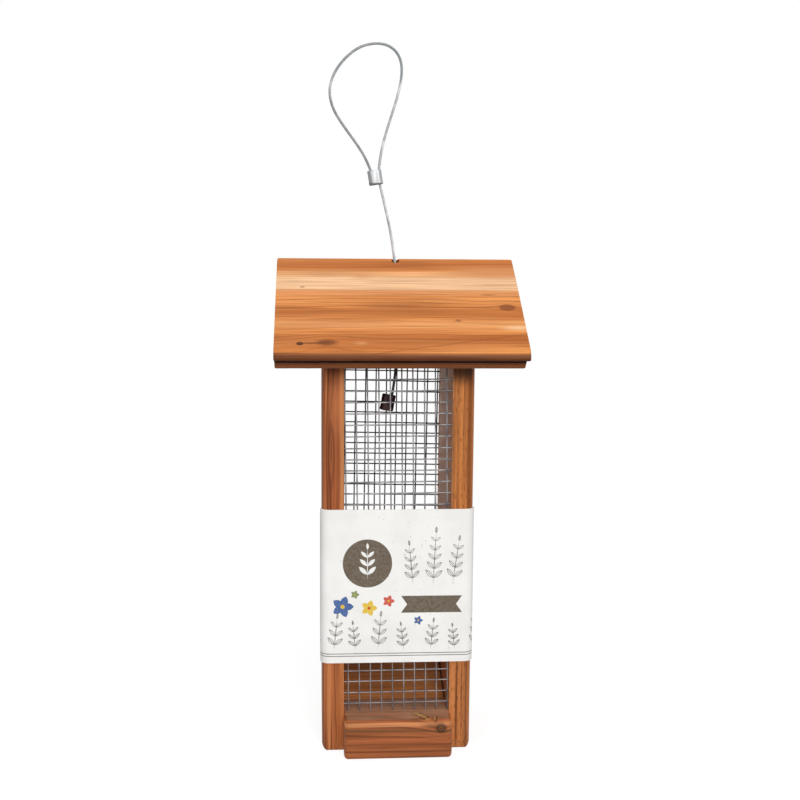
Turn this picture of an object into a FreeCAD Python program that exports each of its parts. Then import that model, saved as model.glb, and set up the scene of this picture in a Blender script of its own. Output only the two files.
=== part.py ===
"""Hanging peanut feeder of oiled cedar.

Two gabled side panels stand on either side of a base block. Wire mesh fills the
front and the back, a sloping floor sends the nuts to the front, and a two-board roof
slides up a steel cable that carries the whole feeder by a crossbar under the ridge.
Millimetres; X across the front, the front faces -Y, Z up from the underside.
"""
import FreeCAD, Part
import math
import os

import Sketcher

Vector = FreeCAD.Vector

# Driving dimensions: name, value in millimetres (degrees for a pitch), what it sets
SIZES = (
    ("body_width", 85.3, "over the outer faces of the side panels"),
    ("panel_thick", 12.4, "side panel thickness"),
    ("panel_depth", 78.0, "side panel, front to back"),
    ("panel_height", 267.6, "side panel at its gable point"),
    ("panel_round", 4.5, "rounded outer edges of the side panels"),
    ("roof_pitch", 34.1, "slope of the roof in degrees"),
    ("roof_length", 135.9, "roof boards, end to end"),
    ("roof_width", 87.8, "roof board from ridge to eave along the slope"),
    ("roof_thick", 10.5, "roof board thickness"),
    ("roof_seat", 0.2, "gap between the roof boards and the panel tops"),
    ("eave_groove", 1.8, "width of the groove along the eave edge"),
    ("eave_groove_depth", 3.5, "depth of the groove along the eave edge"),
    ("eave_lip", 4.2, "upper lip of the eave edge above its groove"),
    ("eave_setback", 0.9, "lower lip of the eave edge behind the upper one"),
    ("eave_round", 2.0, "rounded eave edges"),
    ("batten_width", 14.0, "roof batten along the slope"),
    ("batten_thick", 8.0, "roof batten thickness"),
    ("batten_play", 0.5, "roof batten clear of a panel or the mesh"),
    ("base_thick", 22.5, "base block thickness"),
    ("ledge_reach", 13.0, "base block in front of the side panels"),
    ("ledge_round", 3.0, "rounded front edges of the base block"),
    ("floor_pitch", 20.0, "slope of the inner floor in degrees"),
    ("floor_thick", 7.0, "sloping floor board thickness"),
    ("floor_foot", 21.0, "foot of the sloping floor behind the panel fronts"),
    ("floor_lip", 0.8, "upright front edge of the sloping floor"),
    ("floor_play", 0.5, "sloping floor clear of the back mesh"),
    ("mesh_inset", 4.0, "middle of a mesh behind the panel front or back"),
    ("mesh_top_gap", 4.0, "top of a mesh under the roof boards"),
    ("wire", 0.8, "mesh wire thickness"),
    ("pitch_across", 6.35, "mesh pitch across"),
    ("pitch_up", 6.47, "mesh pitch up"),
    ("first_row", 4.4, "lowest mesh row above the base block"),
    ("groove_depth", 3.5, "depth of the mesh grooves in the panels"),
    ("groove_play", 0.4, "mesh groove wider than the mesh"),
    ("wire_end_play", 0.3, "wire ends clear of the groove bottom"),
    ("bar_width", 14.0, "hanger bar, front to back"),
    ("bar_height", 16.0, "hanger bar, bottom to top"),
    ("bar_drop", 10.6, "top of the hanger bar below the gable point"),
    ("bar_round", 2.0, "rounded long edges of the hanger bar"),
    ("bar_hole", 6.0, "cable hole in the hanger bar"),
    ("ridge_hole", 4.5, "cable hole in the ridge"),
    ("cable_front", 1.2, "cable and its holes in front of the ridge line"),
    ("screw_head", 6.6, "countersunk head of a panel screw"),
    ("screw_shank", 3.5, "shank of a panel screw"),
    ("screw_length", 30.0, "panel screw"),
    ("screw_spacing", 44.0, "panel screws in the base, front to back"),
    ("brad_head", 3.0, "head of a floor brad"),
    ("brad_shank", 1.6, "shank of a floor brad"),
    ("brad_length", 24.0, "floor brad"),
    ("brad_setback", 14.0, "floor brads in front of the back mesh"),
    ("batten_screw_head", 5.0, "head of a batten screw"),
    ("batten_screw_shank", 2.6, "shank of a batten screw"),
    ("batten_screw_length", 15.0, "batten screw"),
    ("batten_screw_spacing", 36.0, "batten screws, left to right"),
    ("hole_play", 0.05, "screw and brad holes larger in radius"),
    ("cable", 1.6, "wire rope diameter"),
    ("ferrule_lobe", 2.3, "radius of each lobe of a ferrule"),
    ("ferrule_spread", 1.75, "middle of a ferrule to the middle of a lobe"),
    ("ferrule_height", 8.4, "ferrule along the cable"),
    ("sleeve_height", 89.0, "card sleeve, bottom to top"),
    ("sleeve_lift", 30.2, "card sleeve above the base block"),
    ("sleeve_thick", 0.5, "card thickness with its glued overlap"),
    ("sleeve_play", 0.4, "card sleeve clear of the panels"),
    ("sleeve_back_drop", 24.0, "back of the card sleeve lower than its front"),
)

# Places worked out from the driving dimensions, as expressions of the sheet
PITCH = "(Dims.roof_pitch * 1 deg)"
FLOOR_PITCH = "(Dims.floor_pitch * 1 deg)"
HALF_WIDTH = "(Dims.body_width / 2)"
HALF_GAP = f"({HALF_WIDTH} - Dims.panel_thick)"
HALF_DEPTH = "(Dims.panel_depth / 2)"
SHOULDER = f"(Dims.panel_height - {HALF_DEPTH} * tan({PITCH}))"
ROOF_UNDER = f"(Dims.panel_height + Dims.roof_seat / cos({PITCH}))"
RIDGE_TOP = f"({ROOF_UNDER} + Dims.roof_thick / cos({PITCH}))"
MESH_Y = f"({HALF_DEPTH} - Dims.mesh_inset)"
MESH_INNER = f"({MESH_Y} - Dims.wire)"
MESH_TOP = f"({ROOF_UNDER} - {MESH_Y} * tan({PITCH}) - Dims.mesh_top_gap)"
FIRST_ROW = "(Dims.base_thick + Dims.first_row)"
BAR_TOP = "(Dims.panel_height - Dims.bar_drop)"
BAR_MIDDLE = f"({BAR_TOP} - Dims.bar_height / 2)"
BATTEN_END = f"(({MESH_INNER} - Dims.batten_play) / cos({PITCH}))"
FLOOR_FRONT = f"(Dims.floor_foot - {HALF_DEPTH})"
FLOOR_BACK = f"({MESH_INNER} - Dims.floor_play)"
FLOOR_DROP = f"(Dims.floor_thick / cos({FLOOR_PITCH}))"
FLOOR_RISE = f"(Dims.floor_lip + ({FLOOR_BACK} - {FLOOR_FRONT}) * tan({FLOOR_PITCH}))"
FLOOR_UNDER = f"({FLOOR_FRONT} + ({FLOOR_DROP} - Dims.floor_lip) / tan({FLOOR_PITCH}))"
BRAD_Y = f"({FLOOR_BACK} - Dims.brad_setback)"
BRAD_Z = (
    f"(Dims.base_thick + {FLOOR_RISE} - Dims.brad_setback * tan({FLOOR_PITCH})"
    f" - {FLOOR_DROP} / 2)"
)

# The cable stands in a plane along the ridge: points as X and Z, chosen by hand.
# It starts in the stop ferrule, passes the bar and the ridge and ends in the loop ferrule.
CABLE_ROUTE = (
    (-1.7, 199.4), (0.3, 211.3), (1.1, 226.8), (0.9, 250.7), (0.4, 272.6),
    (-2.2, 292.5), (-5.9, 309.5), (-9.8, 325.0),
)
# The loop leaves the right lobe of its ferrule and comes back into the left one
LOOP_ROUTE = (
    (-10.1, 328.2), (-9.5, 335.3), (-7.6, 345.8), (-3.7, 358.7), (0.7, 372.1),
    (3.3, 385.0), (1.8, 394.3), (-3.9, 399.9), (-12.0, 401.3), (-21.8, 398.8),
    (-30.8, 391.2), (-36.3, 382.7), (-38.3, 374.0), (-36.3, 364.9), (-30.6, 355.9),
    (-22.7, 345.5), (-16.7, 336.4), (-13.5, 327.8),
)
# Middle of each ferrule in X and Z, and how far its top leans to the right
LOOP_FERRULE = (-11.9, 326.6)
LOOP_FERRULE_LEAN = -9.5
STOP_FERRULE = (-3.9, 197.0)
STOP_FERRULE_LEAN = 10.0

# An arc of the cable takes this share of the shorter run beside it
ARC_SHARE = 0.45
LEAST_BEND_DIAMETERS = 5.0
ROPE_SIDES = 8
# Two numbers this close count as the same when edges are picked by place
CLOSE = 0.01


def make_sheet(doc):
    """Writes the driving dimensions to the spreadsheet named Dims."""
    sheet = doc.addObject("Spreadsheet::Sheet", "Dims")
    for row, (name, value, meaning) in enumerate(SIZES, start=1):
        sheet.set(f"A{row}", str(value))
        sheet.setAlias(f"A{row}", name)
        sheet.set(f"B{row}", meaning)
    doc.recompute()
    return sheet


def number(doc, text):
    """Works out an expression of the sheet as a plain number."""
    result = doc.getObject("Dims").evalExpression(text)
    return float(getattr(result, "Value", result))


def new_body(doc, name, label):
    body = doc.addObject("PartDesign::Body", name)
    body.Label = label
    return body


def new_sketch(body, name, role, offset="0"):
    """Adds a sketch on one of the body's origin planes, moved along its normal."""
    sketch = body.newObject("Sketcher::SketchObject", name)
    plane = next(item for item in body.Origin.OriginFeatures if item.Role == role)
    sketch.AttachmentSupport = [(plane, "")]
    sketch.MapMode = "FlatFace"
    sketch.setExpression("AttachmentOffset.Base.z", offset)
    return sketch


def pin_point(sketch, line, corner, doc):
    """Holds the start of a line at a corner given as two expressions."""
    for kind, axis, text in (("DistanceX", -2, corner[0]), ("DistanceY", -1, corner[1])):
        if text == "0":
            sketch.addConstraint(Sketcher.Constraint("PointOnObject", line, 1, axis))
            continue
        index = sketch.addConstraint(
            Sketcher.Constraint(kind, -1, 1, line, 1, number(doc, text))
        )
        sketch.setExpression(f"Constraints[{index}]", text)


def draw_outline(sketch, corners):
    """Draws a closed outline of straight lines through corners given as expressions."""
    doc = sketch.Document
    first = sketch.GeometryCount
    points = [Vector(number(doc, u), number(doc, v), 0) for u, v in corners]
    count = len(points)
    for index, start in enumerate(points):
        sketch.addGeometry(Part.LineSegment(start, points[(index + 1) % count]), False)
    for index in range(count):
        following = first + (index + 1) % count
        sketch.addConstraint(Sketcher.Constraint("Coincident", first + index, 2, following, 1))
    for index, corner in enumerate(corners):
        pin_point(sketch, first + index, corner, doc)


def rectangle(left, bottom, right, top):
    return ((left, bottom), (right, bottom), (right, top), (left, top))


def draw_circle(sketch, radius, across="0"):
    """Draws a circle on the sketch's X axis at a distance across from its origin."""
    doc = sketch.Document
    centre = Vector(number(doc, across), 0, 0)
    index = sketch.addGeometry(
        Part.Circle(centre, Vector(0, 0, 1), number(doc, radius)), False
    )
    sketch.addConstraint(Sketcher.Constraint("PointOnObject", index, 3, -1))
    if across == "0":
        sketch.addConstraint(Sketcher.Constraint("PointOnObject", index, 3, -2))
    else:
        place = sketch.addConstraint(
            Sketcher.Constraint("DistanceX", -1, 1, index, 3, centre.x)
        )
        sketch.setExpression(f"Constraints[{place}]", across)
    size = sketch.addConstraint(Sketcher.Constraint("Radius", index, number(doc, radius)))
    sketch.setExpression(f"Constraints[{size}]", radius)


def pad(body, sketch, length, side="One side"):
    feature = body.newObject("PartDesign::Pad", f"{sketch.Name}Pad")
    feature.Profile = sketch
    feature.SideType = side
    feature.setExpression("Length", length)
    sketch.Document.recompute()
    return feature


def pocket(body, sketch, length=None, side="One side"):
    """Cuts a sketch out of its body and makes sure that it took something away."""
    before = body.Shape.Volume
    feature = body.newObject("PartDesign::Pocket", f"{sketch.Name}Pocket")
    feature.Profile = sketch
    feature.SideType = side
    if length is None:
        feature.Type = "ThroughAll"
    else:
        feature.setExpression("Length", length)
    sketch.Document.recompute()
    if body.Shape.Volume >= before - CLOSE:
        raise RuntimeError(f"{feature.Name} cut nothing")
    return feature


def fillet(body, base, radius, wanted):
    """Rounds the edges of a feature that a test on their two ends picks out."""
    names = []
    for index, edge in enumerate(base.Shape.Edges, start=1):
        ends = [vertex.Point for vertex in edge.Vertexes]
        if len(ends) == 2 and wanted(*ends):
            names.append(f"Edge{index}")
    if not names:
        raise RuntimeError(f"no edge of {base.Name} to round")
    feature = body.newObject("PartDesign::Fillet", f"{base.Name}Round")
    feature.Base = (base, names)
    feature.setExpression("Radius", radius)
    base.Document.recompute()
    return feature


def both(test):
    """Turns a test of one point into a test of both ends of an edge."""
    return lambda start, end: test(start) and test(end)


def place(obj, x, y, z, axis, angle):
    """Sets an object's rotation and binds its position to the sheet."""
    obj.Placement = FreeCAD.Placement(Vector(0, 0, 0), FreeCAD.Rotation(axis, angle))
    for letter, text in (("x", x), ("y", y), ("z", z)):
        obj.setExpression(f"Placement.Base.{letter}", text)


def countersunk(doc, name, sizes, spot, play=None):
    """Makes a countersunk screw, or with play the hole that takes it.

    sizes names the head, shank and length cells; spot is (x, y, z, axis, angle) for the
    middle of the head's outer face, with the screw along its own +Z.
    """
    head, shank, length = (f"Dims.{word}" for word in sizes)
    grow = "0" if play is None else f"Dims.{play}"
    sink = f"({head} - {shank}) / 2"
    cone = doc.addObject("Part::Cone", f"{name}Head")
    cone.setExpression("Radius1", f"{head} / 2 + {grow}")
    cone.setExpression("Radius2", f"{shank} / 2 + {grow}")
    cone.setExpression("Height", sink)
    rod = doc.addObject("Part::Cylinder", f"{name}Shank")
    rod.setExpression("Radius", f"{shank} / 2 + {grow}")
    rod.setExpression("Height", f"{length} + {grow}")
    for item in (cone, rod):
        place(item, *spot)
    fused = doc.addObject("Part::Fuse", name)
    fused.Base = cone
    fused.Tool = rod
    fused.Refine = True
    return fused


def gather(doc, name, label, pieces):
    """Groups separate solids as one named piece."""
    group = doc.addObject("Part::Compound", name)
    group.Label = label
    group.Links = pieces
    doc.recompute()
    return group


def cut_holes(doc, label, body, holes):
    """Takes screw holes out of a body; the result carries the piece's label."""
    before = body.Shape.Volume
    body.Label = f"{label}_blank"
    tools = gather(doc, f"{body.Name}Holes", f"{label}_holes", holes)
    result = doc.addObject("Part::Cut", f"{body.Name}Drilled")
    result.Base = body
    result.Tool = tools
    result.Label = label
    doc.recompute()
    if result.Shape.Volume >= before - CLOSE:
        raise RuntimeError(f"the holes miss {label}")
    return result


def side_spot(side, y, z):
    """Place of a screw driven inwards through the outer face of a side panel."""
    return (f"{side} * {HALF_WIDTH}", y, z, Vector(0, 1, 0), -90.0 * side)


SCREW = ("screw_head", "screw_shank", "screw_length")
BRAD = ("brad_head", "brad_shank", "brad_length")
BATTEN_SCREW = ("batten_screw_head", "batten_screw_shank", "batten_screw_length")
BASE_SCREW_SPOTS = [
    (side, f"{end} * Dims.screw_spacing / 2", "Dims.base_thick / 2")
    for side in (-1, 1)
    for end in (-1, 1)
]
BAR_SCREW_SPOTS = [(side, "0", BAR_MIDDLE) for side in (-1, 1)]
BRAD_SPOTS = [(side, BRAD_Y, BRAD_Z) for side in (-1, 1)]


def side_holes(doc, name, sizes, spots, wanted_side=None):
    """Holes for the screws of a list of spots, all of them or one side's."""
    return [
        countersunk(doc, f"{name}{index}", sizes, side_spot(*spot), "hole_play")
        for index, spot in enumerate(spots)
        if wanted_side in (None, spot[0])
    ]


def side_screws(doc, name, label, sizes, spots):
    screws = [
        countersunk(doc, f"{name}{index}", sizes, side_spot(*spot))
        for index, spot in enumerate(spots)
    ]
    return gather(doc, name, label, screws)


def side_panel(doc, name, label, side):
    """A gabled side panel with a groove for each mesh and rounded outer edges."""
    body = new_body(doc, name, label)
    outer = f"{side} * {HALF_WIDTH}"
    start = outer if side < 0 else HALF_GAP
    sketch = new_sketch(body, f"{name}Gable", "YZ_Plane", start)
    draw_outline(
        sketch,
        (
            (f"-{HALF_DEPTH}", "0"),
            (HALF_DEPTH, "0"),
            (HALF_DEPTH, SHOULDER),
            ("0", "Dims.panel_height"),
            (f"-{HALF_DEPTH}", SHOULDER),
        ),
    )
    board = pad(body, sketch, "Dims.panel_thick")
    outer_x = number(doc, outer)
    shoulder = number(doc, SHOULDER)
    fillet(
        body,
        board,
        "Dims.panel_round",
        both(lambda point: abs(point.x - outer_x) < CLOSE and point.z < shoulder + CLOSE),
    )
    floor = f"-{HALF_GAP}" if side < 0 else f"{HALF_GAP} + Dims.groove_depth"
    grooves = new_sketch(body, f"{name}Grooves", "YZ_Plane", floor)
    reach = "(Dims.wire + Dims.groove_play / 2)"
    for end in (-1, 1):
        middle = f"{end} * {MESH_Y}"
        draw_outline(
            grooves,
            rectangle(
                f"{middle} - {reach}", "Dims.base_thick", f"{middle} + {reach}", "Dims.panel_height"
            ),
        )
    pocket(body, grooves, "Dims.groove_depth")
    holes = (
        side_holes(doc, f"{name}BaseHole", SCREW, BASE_SCREW_SPOTS, side)
        + side_holes(doc, f"{name}BarHole", SCREW, BAR_SCREW_SPOTS, side)
        + side_holes(doc, f"{name}BradHole", BRAD, BRAD_SPOTS, side)
    )
    return cut_holes(doc, label, body, holes)


def base_board(doc):
    """The base block, whose front stands out between the panels as a perching ledge."""
    body = new_body(doc, "Base", "base_board")
    sketch = new_sketch(body, "BaseSide", "YZ_Plane")
    front = f"-({HALF_DEPTH} + Dims.ledge_reach)"
    draw_outline(sketch, rectangle(front, "0", HALF_DEPTH, "Dims.base_thick"))
    block = pad(body, sketch, f"2 * {HALF_GAP}", "Symmetric")
    front_y = number(doc, front)
    fillet(body, block, "Dims.ledge_round", both(lambda point: abs(point.y - front_y) < CLOSE))
    holes = side_holes(doc, "BaseHole", SCREW, BASE_SCREW_SPOTS)
    return cut_holes(doc, "base_board", body, holes)


def sloping_floor(doc):
    """The inner floor board: its foot sits on the base, its back edge is raised."""
    body = new_body(doc, "Floor", "sloping_floor")
    sketch = new_sketch(body, "FloorSide", "YZ_Plane")
    draw_outline(
        sketch,
        (
            (FLOOR_FRONT, "Dims.base_thick"),
            (FLOOR_UNDER, "Dims.base_thick"),
            (FLOOR_BACK, f"Dims.base_thick + {FLOOR_RISE} - {FLOOR_DROP}"),
            (FLOOR_BACK, f"Dims.base_thick + {FLOOR_RISE}"),
            (FLOOR_FRONT, "Dims.base_thick + Dims.floor_lip"),
        ),
    )
    pad(body, sketch, f"2 * {HALF_GAP}", "Symmetric")
    return cut_holes(doc, "sloping_floor", body, side_holes(doc, "FloorHole", BRAD, BRAD_SPOTS))


def drill_cable_hole(body, name, radius):
    """Drills an upright hole for the cable right through a body."""
    hole = new_sketch(body, name, "XY_Plane")
    hole.setExpression("AttachmentOffset.Base.y", "-Dims.cable_front")
    draw_circle(hole, radius)
    return pocket(body, hole, side="Symmetric")


def hanger_bar(doc):
    """The crossbar between the panels that the stop on the cable pulls against."""
    body = new_body(doc, "Bar", "hanger_bar")
    sketch = new_sketch(body, "BarEnd", "YZ_Plane")
    half = "Dims.bar_width / 2"
    draw_outline(sketch, rectangle(f"-{half}", f"{BAR_TOP} - Dims.bar_height", half, BAR_TOP))
    bar = pad(body, sketch, f"2 * {HALF_GAP}", "Symmetric")
    fillet(body, bar, "Dims.bar_round", lambda start, end: abs(start.x - end.x) > CLOSE)
    drill_cable_hole(body, "BarHole", "Dims.bar_hole / 2")
    return cut_holes(doc, "hanger_bar", body, side_holes(doc, "BarEndHole", SCREW, BAR_SCREW_SPOTS))


def wire_mesh(doc, name, label, face):
    """Welded square mesh: upright wires outside, level wires against their inner side."""
    body = new_body(doc, name, label)
    middle = f"{face} * {MESH_Y}"
    level_start = f"-({middle})" if face > 0 else f"-({middle}) - Dims.wire"
    upright_start = f"-({middle}) - Dims.wire" if face > 0 else f"-({middle})"
    columns = wires_that_fit(doc, f"2 * {HALF_GAP}", "Dims.pitch_across")
    rows = wires_that_fit(doc, f"{MESH_TOP} - {FIRST_ROW} + Dims.wire / 2", "Dims.pitch_up")
    half_length = f"({HALF_GAP} + Dims.groove_depth - Dims.wire_end_play)"
    level = new_sketch(body, f"{name}Level", "XZ_Plane", level_start)
    draw_outline(
        level,
        rectangle(
            f"-{half_length}", f"{FIRST_ROW} - Dims.wire / 2", half_length, f"{FIRST_ROW} + Dims.wire / 2"
        ),
    )
    level_pad = pad(body, level, "Dims.wire")
    first_column = f"(-{(columns - 1) / 2} * Dims.pitch_across)"
    upright = new_sketch(body, f"{name}Upright", "XZ_Plane", upright_start)
    draw_outline(
        upright,
        rectangle(
            f"{first_column} - Dims.wire / 2",
            "Dims.base_thick",
            f"{first_column} + Dims.wire / 2",
            MESH_TOP,
        ),
    )
    upright_pad = pad(body, upright, "Dims.wire")
    repeat(body, upright_pad, upright, "H_Axis", columns, "Dims.pitch_across")
    repeat(body, level_pad, level, "V_Axis", rows, "Dims.pitch_up")
    return body


def wires_that_fit(doc, room, pitch):
    """How many wires, a pitch apart, fit in a space given as an expression."""
    return int(number(doc, f"({room} - Dims.wire) / {pitch}")) + 1


def repeat(body, feature, sketch, direction, count, step):
    """Repeats a feature along one of its sketch's axes."""
    pattern = body.newObject("PartDesign::LinearPattern", f"{feature.Name}Row")
    pattern.Originals = [feature]
    pattern.Direction = (sketch, [direction])
    pattern.Occurrences = count
    pattern.setExpression("Length", f"{count - 1} * {step}")
    body.Tip = pattern
    body.Document.recompute()
    return pattern


def down_slope(face, along, below, ridge=RIDGE_TOP):
    """A point of the roof: down the slope from a ridge height, and square below that line."""
    y = f"{face} * (({along}) * cos({PITCH}) - ({below}) * sin({PITCH}))"
    z = f"{ridge} - ({along}) * sin({PITCH}) - ({below}) * cos({PITCH})"
    return (y, z)


def batten_screw_spots(doc, face):
    """Two screws in a batten, driven up square to the slope from its lower face."""
    along = f"{BATTEN_END} - Dims.batten_width / 2"
    y, z = down_slope(face, along, "Dims.batten_thick", ROOF_UNDER)
    tilt = -face * number(doc, "Dims.roof_pitch")
    return [
        (f"{end} * Dims.batten_screw_spacing / 2", y, z, Vector(1, 0, 0), tilt)
        for end in (-1, 1)
    ]


def roof_board(doc, name, label, face):
    """A roof board mitred at the ridge, with a grooved and rounded eave edge."""
    body = new_body(doc, name, label)
    sketch = new_sketch(body, f"{name}Side", "YZ_Plane")
    groove_end = "Dims.eave_lip + Dims.eave_groove"
    inner = "Dims.roof_width - Dims.eave_groove_depth"
    lower = "Dims.roof_width - Dims.eave_setback"
    corners = (
        ("0", RIDGE_TOP),
        down_slope(face, "Dims.roof_width", "0"),
        down_slope(face, "Dims.roof_width", "Dims.eave_lip"),
        down_slope(face, inner, "Dims.eave_lip"),
        down_slope(face, inner, groove_end),
        down_slope(face, lower, groove_end),
        down_slope(face, lower, "Dims.roof_thick"),
        ("0", ROOF_UNDER),
    )
    draw_outline(sketch, corners)
    board = pad(body, sketch, "Dims.roof_length", "Symmetric")
    drilled = drill_cable_hole(body, f"{name}Hole", "Dims.ridge_hole / 2")
    nose = [number(doc, text) for text in corners[1]]
    heel = [number(doc, text) for text in corners[6]]

    def on_eave(point):
        return any(math.hypot(point.y - y, point.z - z) < CLOSE for y, z in (nose, heel))

    fillet(body, drilled, "Dims.eave_round", both(on_eave))
    holes = [
        countersunk(doc, f"{name}ScrewHole{index}", BATTEN_SCREW, spot, "hole_play")
        for index, spot in enumerate(batten_screw_spots(doc, face))
    ]
    return cut_holes(doc, label, body, holes)


def roof_batten(doc, name, label, face):
    """A batten under a roof board that keeps the roof between the panels."""
    body = new_body(doc, name, label)
    sketch = new_sketch(body, f"{name}Side", "YZ_Plane")
    start = f"{BATTEN_END} - Dims.batten_width"
    draw_outline(
        sketch,
        (
            down_slope(face, start, "0", ROOF_UNDER),
            down_slope(face, BATTEN_END, "0", ROOF_UNDER),
            down_slope(face, BATTEN_END, "Dims.batten_thick", ROOF_UNDER),
            down_slope(face, start, "Dims.batten_thick", ROOF_UNDER),
        ),
    )
    pad(body, sketch, f"2 * ({HALF_GAP} - Dims.batten_play)", "Symmetric")
    holes = [
        countersunk(doc, f"{name}ScrewHole{index}", BATTEN_SCREW, spot, "hole_play")
        for index, spot in enumerate(batten_screw_spots(doc, face))
    ]
    return cut_holes(doc, label, body, holes)


def batten_screws(doc):
    spots = batten_screw_spots(doc, -1) + batten_screw_spots(doc, 1)
    screws = [
        countersunk(doc, f"BattenScrew{index}", BATTEN_SCREW, spot)
        for index, spot in enumerate(spots)
    ]
    return gather(doc, "BattenScrews", "batten_screws", screws)


def rounded_path(points, name, diameter, y):
    """Straight runs joined by tangent arcs, each as large as its two runs allow."""
    corners = [Vector(x, y, z) for x, z in points]
    edges = []
    radii = []
    last = corners[0]
    for before, corner, after in zip(corners, corners[1:], corners[2:]):
        back = before - corner
        ahead = after - corner
        turn = math.pi - back.getAngle(ahead)
        reach = ARC_SHARE * min(back.Length, ahead.Length)
        radius = reach / math.tan(turn / 2)
        radii.append(radius)
        start = corner + back.normalize() * reach
        end = corner + ahead.normalize() * reach
        bisector = (back + ahead).normalize()
        middle = corner + bisector * (radius / math.cos(turn / 2) - radius)
        edges.append(Part.LineSegment(last, start).toShape())
        edges.append(Part.Arc(start, middle, end).toShape())
        last = end
    edges.append(Part.LineSegment(last, corners[-1]).toShape())
    path = Part.Wire(edges)
    print(f"{name}: length {path.Length:.1f}, bend radii", [round(radius, 1) for radius in radii])
    if min(radii) < LEAST_BEND_DIAMETERS * diameter:
        print(f"{name} bends tighter than {LEAST_BEND_DIAMETERS} diameters")
    return path


def rope_section(start, along, diameter):
    """A flat-sided section across the start of the cable, with the area of the round rope."""
    side = Vector(0, 1, 0)
    up = along.cross(side)
    step = 2 * math.pi / ROPE_SIDES
    radius = diameter * math.sqrt(math.pi / (2 * ROPE_SIDES * math.sin(step)))
    corners = []
    for index in range(ROPE_SIDES + 1):
        angle = (index + 0.5) * step
        corners.append(start + (side * math.cos(angle) + up * math.sin(angle)) * radius)
    return Part.Face(Part.makePolygon(corners))


def wire_rope(doc, name, label, points):
    """A length of the hanging cable as a tube along its route."""
    diameter = number(doc, "Dims.cable")
    path = rounded_path(points, label, diameter, -number(doc, "Dims.cable_front"))
    first = path.Edges[0]
    start = first.valueAt(first.FirstParameter)
    tube = path.makePipe(rope_section(start, first.tangentAt(first.FirstParameter), diameter))
    expected = math.pi * diameter**2 / 4 * path.Length
    print(f"{label}: volume {tube.Volume:.2f} of {expected:.2f}")
    piece = doc.addObject("Part::Feature", name)
    piece.Label = label
    piece.Shape = tube
    return piece


def ferrule(doc, name, label, middle, lean):
    """A crimped two-lobed ferrule, leaning in the plane of the cable."""
    body = new_body(doc, name, label)
    for word, side in (("Left", "-"), ("Right", "")):
        sketch = new_sketch(body, f"{name}{word}", "XY_Plane")
        draw_circle(sketch, "Dims.ferrule_lobe", f"{side}Dims.ferrule_spread")
        pad(body, sketch, "Dims.ferrule_height", "Symmetric")
    x, z = middle
    place(body, str(x), "-Dims.cable_front", str(z), Vector(0, 1, 0), lean)
    return body


def card_sleeve(doc):
    """The printed card band round the panels, whose upper edge slopes down to the back."""
    body = new_body(doc, "Sleeve", "card_sleeve")
    grow = "(Dims.sleeve_play + Dims.sleeve_thick)"
    across = f"({HALF_WIDTH} + {grow})"
    deep = f"({HALF_DEPTH} + {grow})"
    sketch = new_sketch(body, "SleeveBand", "XY_Plane", "Dims.base_thick + Dims.sleeve_lift")
    draw_outline(sketch, rectangle(f"-{across}", f"-{deep}", across, deep))
    block = pad(body, sketch, "Dims.sleeve_height")
    rounded = fillet(
        body,
        block,
        f"Dims.panel_round + {grow}",
        lambda start, end: math.hypot(start.x - end.x, start.y - end.y) < CLOSE,
    )
    ends = [
        f"Face{index}"
        for index, face in enumerate(rounded.Shape.Faces, start=1)
        if abs(face.normalAt(0, 0).z) > 1 - CLOSE
    ]
    band = body.newObject("PartDesign::Thickness", "SleeveHollow")
    band.Base = (rounded, ends)
    band.setExpression("Value", "Dims.sleeve_thick")
    band.Reversed = True
    doc.recompute()
    if band.Shape.Volume >= rounded.Shape.Volume / 2:
        raise RuntimeError("the card sleeve isn't hollow")
    body.Tip = band
    top = "Dims.base_thick + Dims.sleeve_lift + Dims.sleeve_height"
    start = f"Dims.panel_round - {HALF_DEPTH}"
    behind = f"{deep} + Dims.sleeve_thick"
    above = f"{top} + Dims.sleeve_thick"
    slope = new_sketch(body, "SleeveSlope", "YZ_Plane")
    draw_outline(
        slope,
        [(start, top), (behind, f"{top} - Dims.sleeve_back_drop"), (behind, above), (start, above)],
    )
    pocket(body, slope, side="Symmetric")
    return body


def build():
    """Builds every piece of the feeder and returns them in order of assembly."""
    doc = FreeCAD.newDocument("PeanutFeeder")
    make_sheet(doc)
    pieces = [
        side_panel(doc, "LeftPanel", "left_side_panel", -1),
        side_panel(doc, "RightPanel", "right_side_panel", 1),
        base_board(doc),
        sloping_floor(doc),
        hanger_bar(doc),
        wire_mesh(doc, "FrontMesh", "front_mesh", -1),
        wire_mesh(doc, "BackMesh", "back_mesh", 1),
        side_screws(doc, "BaseScrews", "base_screws", SCREW, BASE_SCREW_SPOTS),
        side_screws(doc, "BarScrews", "bar_screws", SCREW, BAR_SCREW_SPOTS),
        side_screws(doc, "FloorBrads", "floor_brads", BRAD, BRAD_SPOTS),
        roof_board(doc, "RoofFront", "roof_front_board", -1),
        roof_board(doc, "RoofBack", "roof_back_board", 1),
        roof_batten(doc, "BattenFront", "roof_front_batten", -1),
        roof_batten(doc, "BattenBack", "roof_back_batten", 1),
        batten_screws(doc),
        wire_rope(doc, "Cable", "hanger_cable", CABLE_ROUTE),
        wire_rope(doc, "Loop", "hanger_loop", LOOP_ROUTE),
        ferrule(doc, "LoopFerrule", "loop_ferrule", LOOP_FERRULE, LOOP_FERRULE_LEAN),
        ferrule(doc, "StopFerrule", "stop_ferrule", STOP_FERRULE, STOP_FERRULE_LEAN),
        card_sleeve(doc),
    ]
    doc.recompute()
    return doc, pieces


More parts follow.
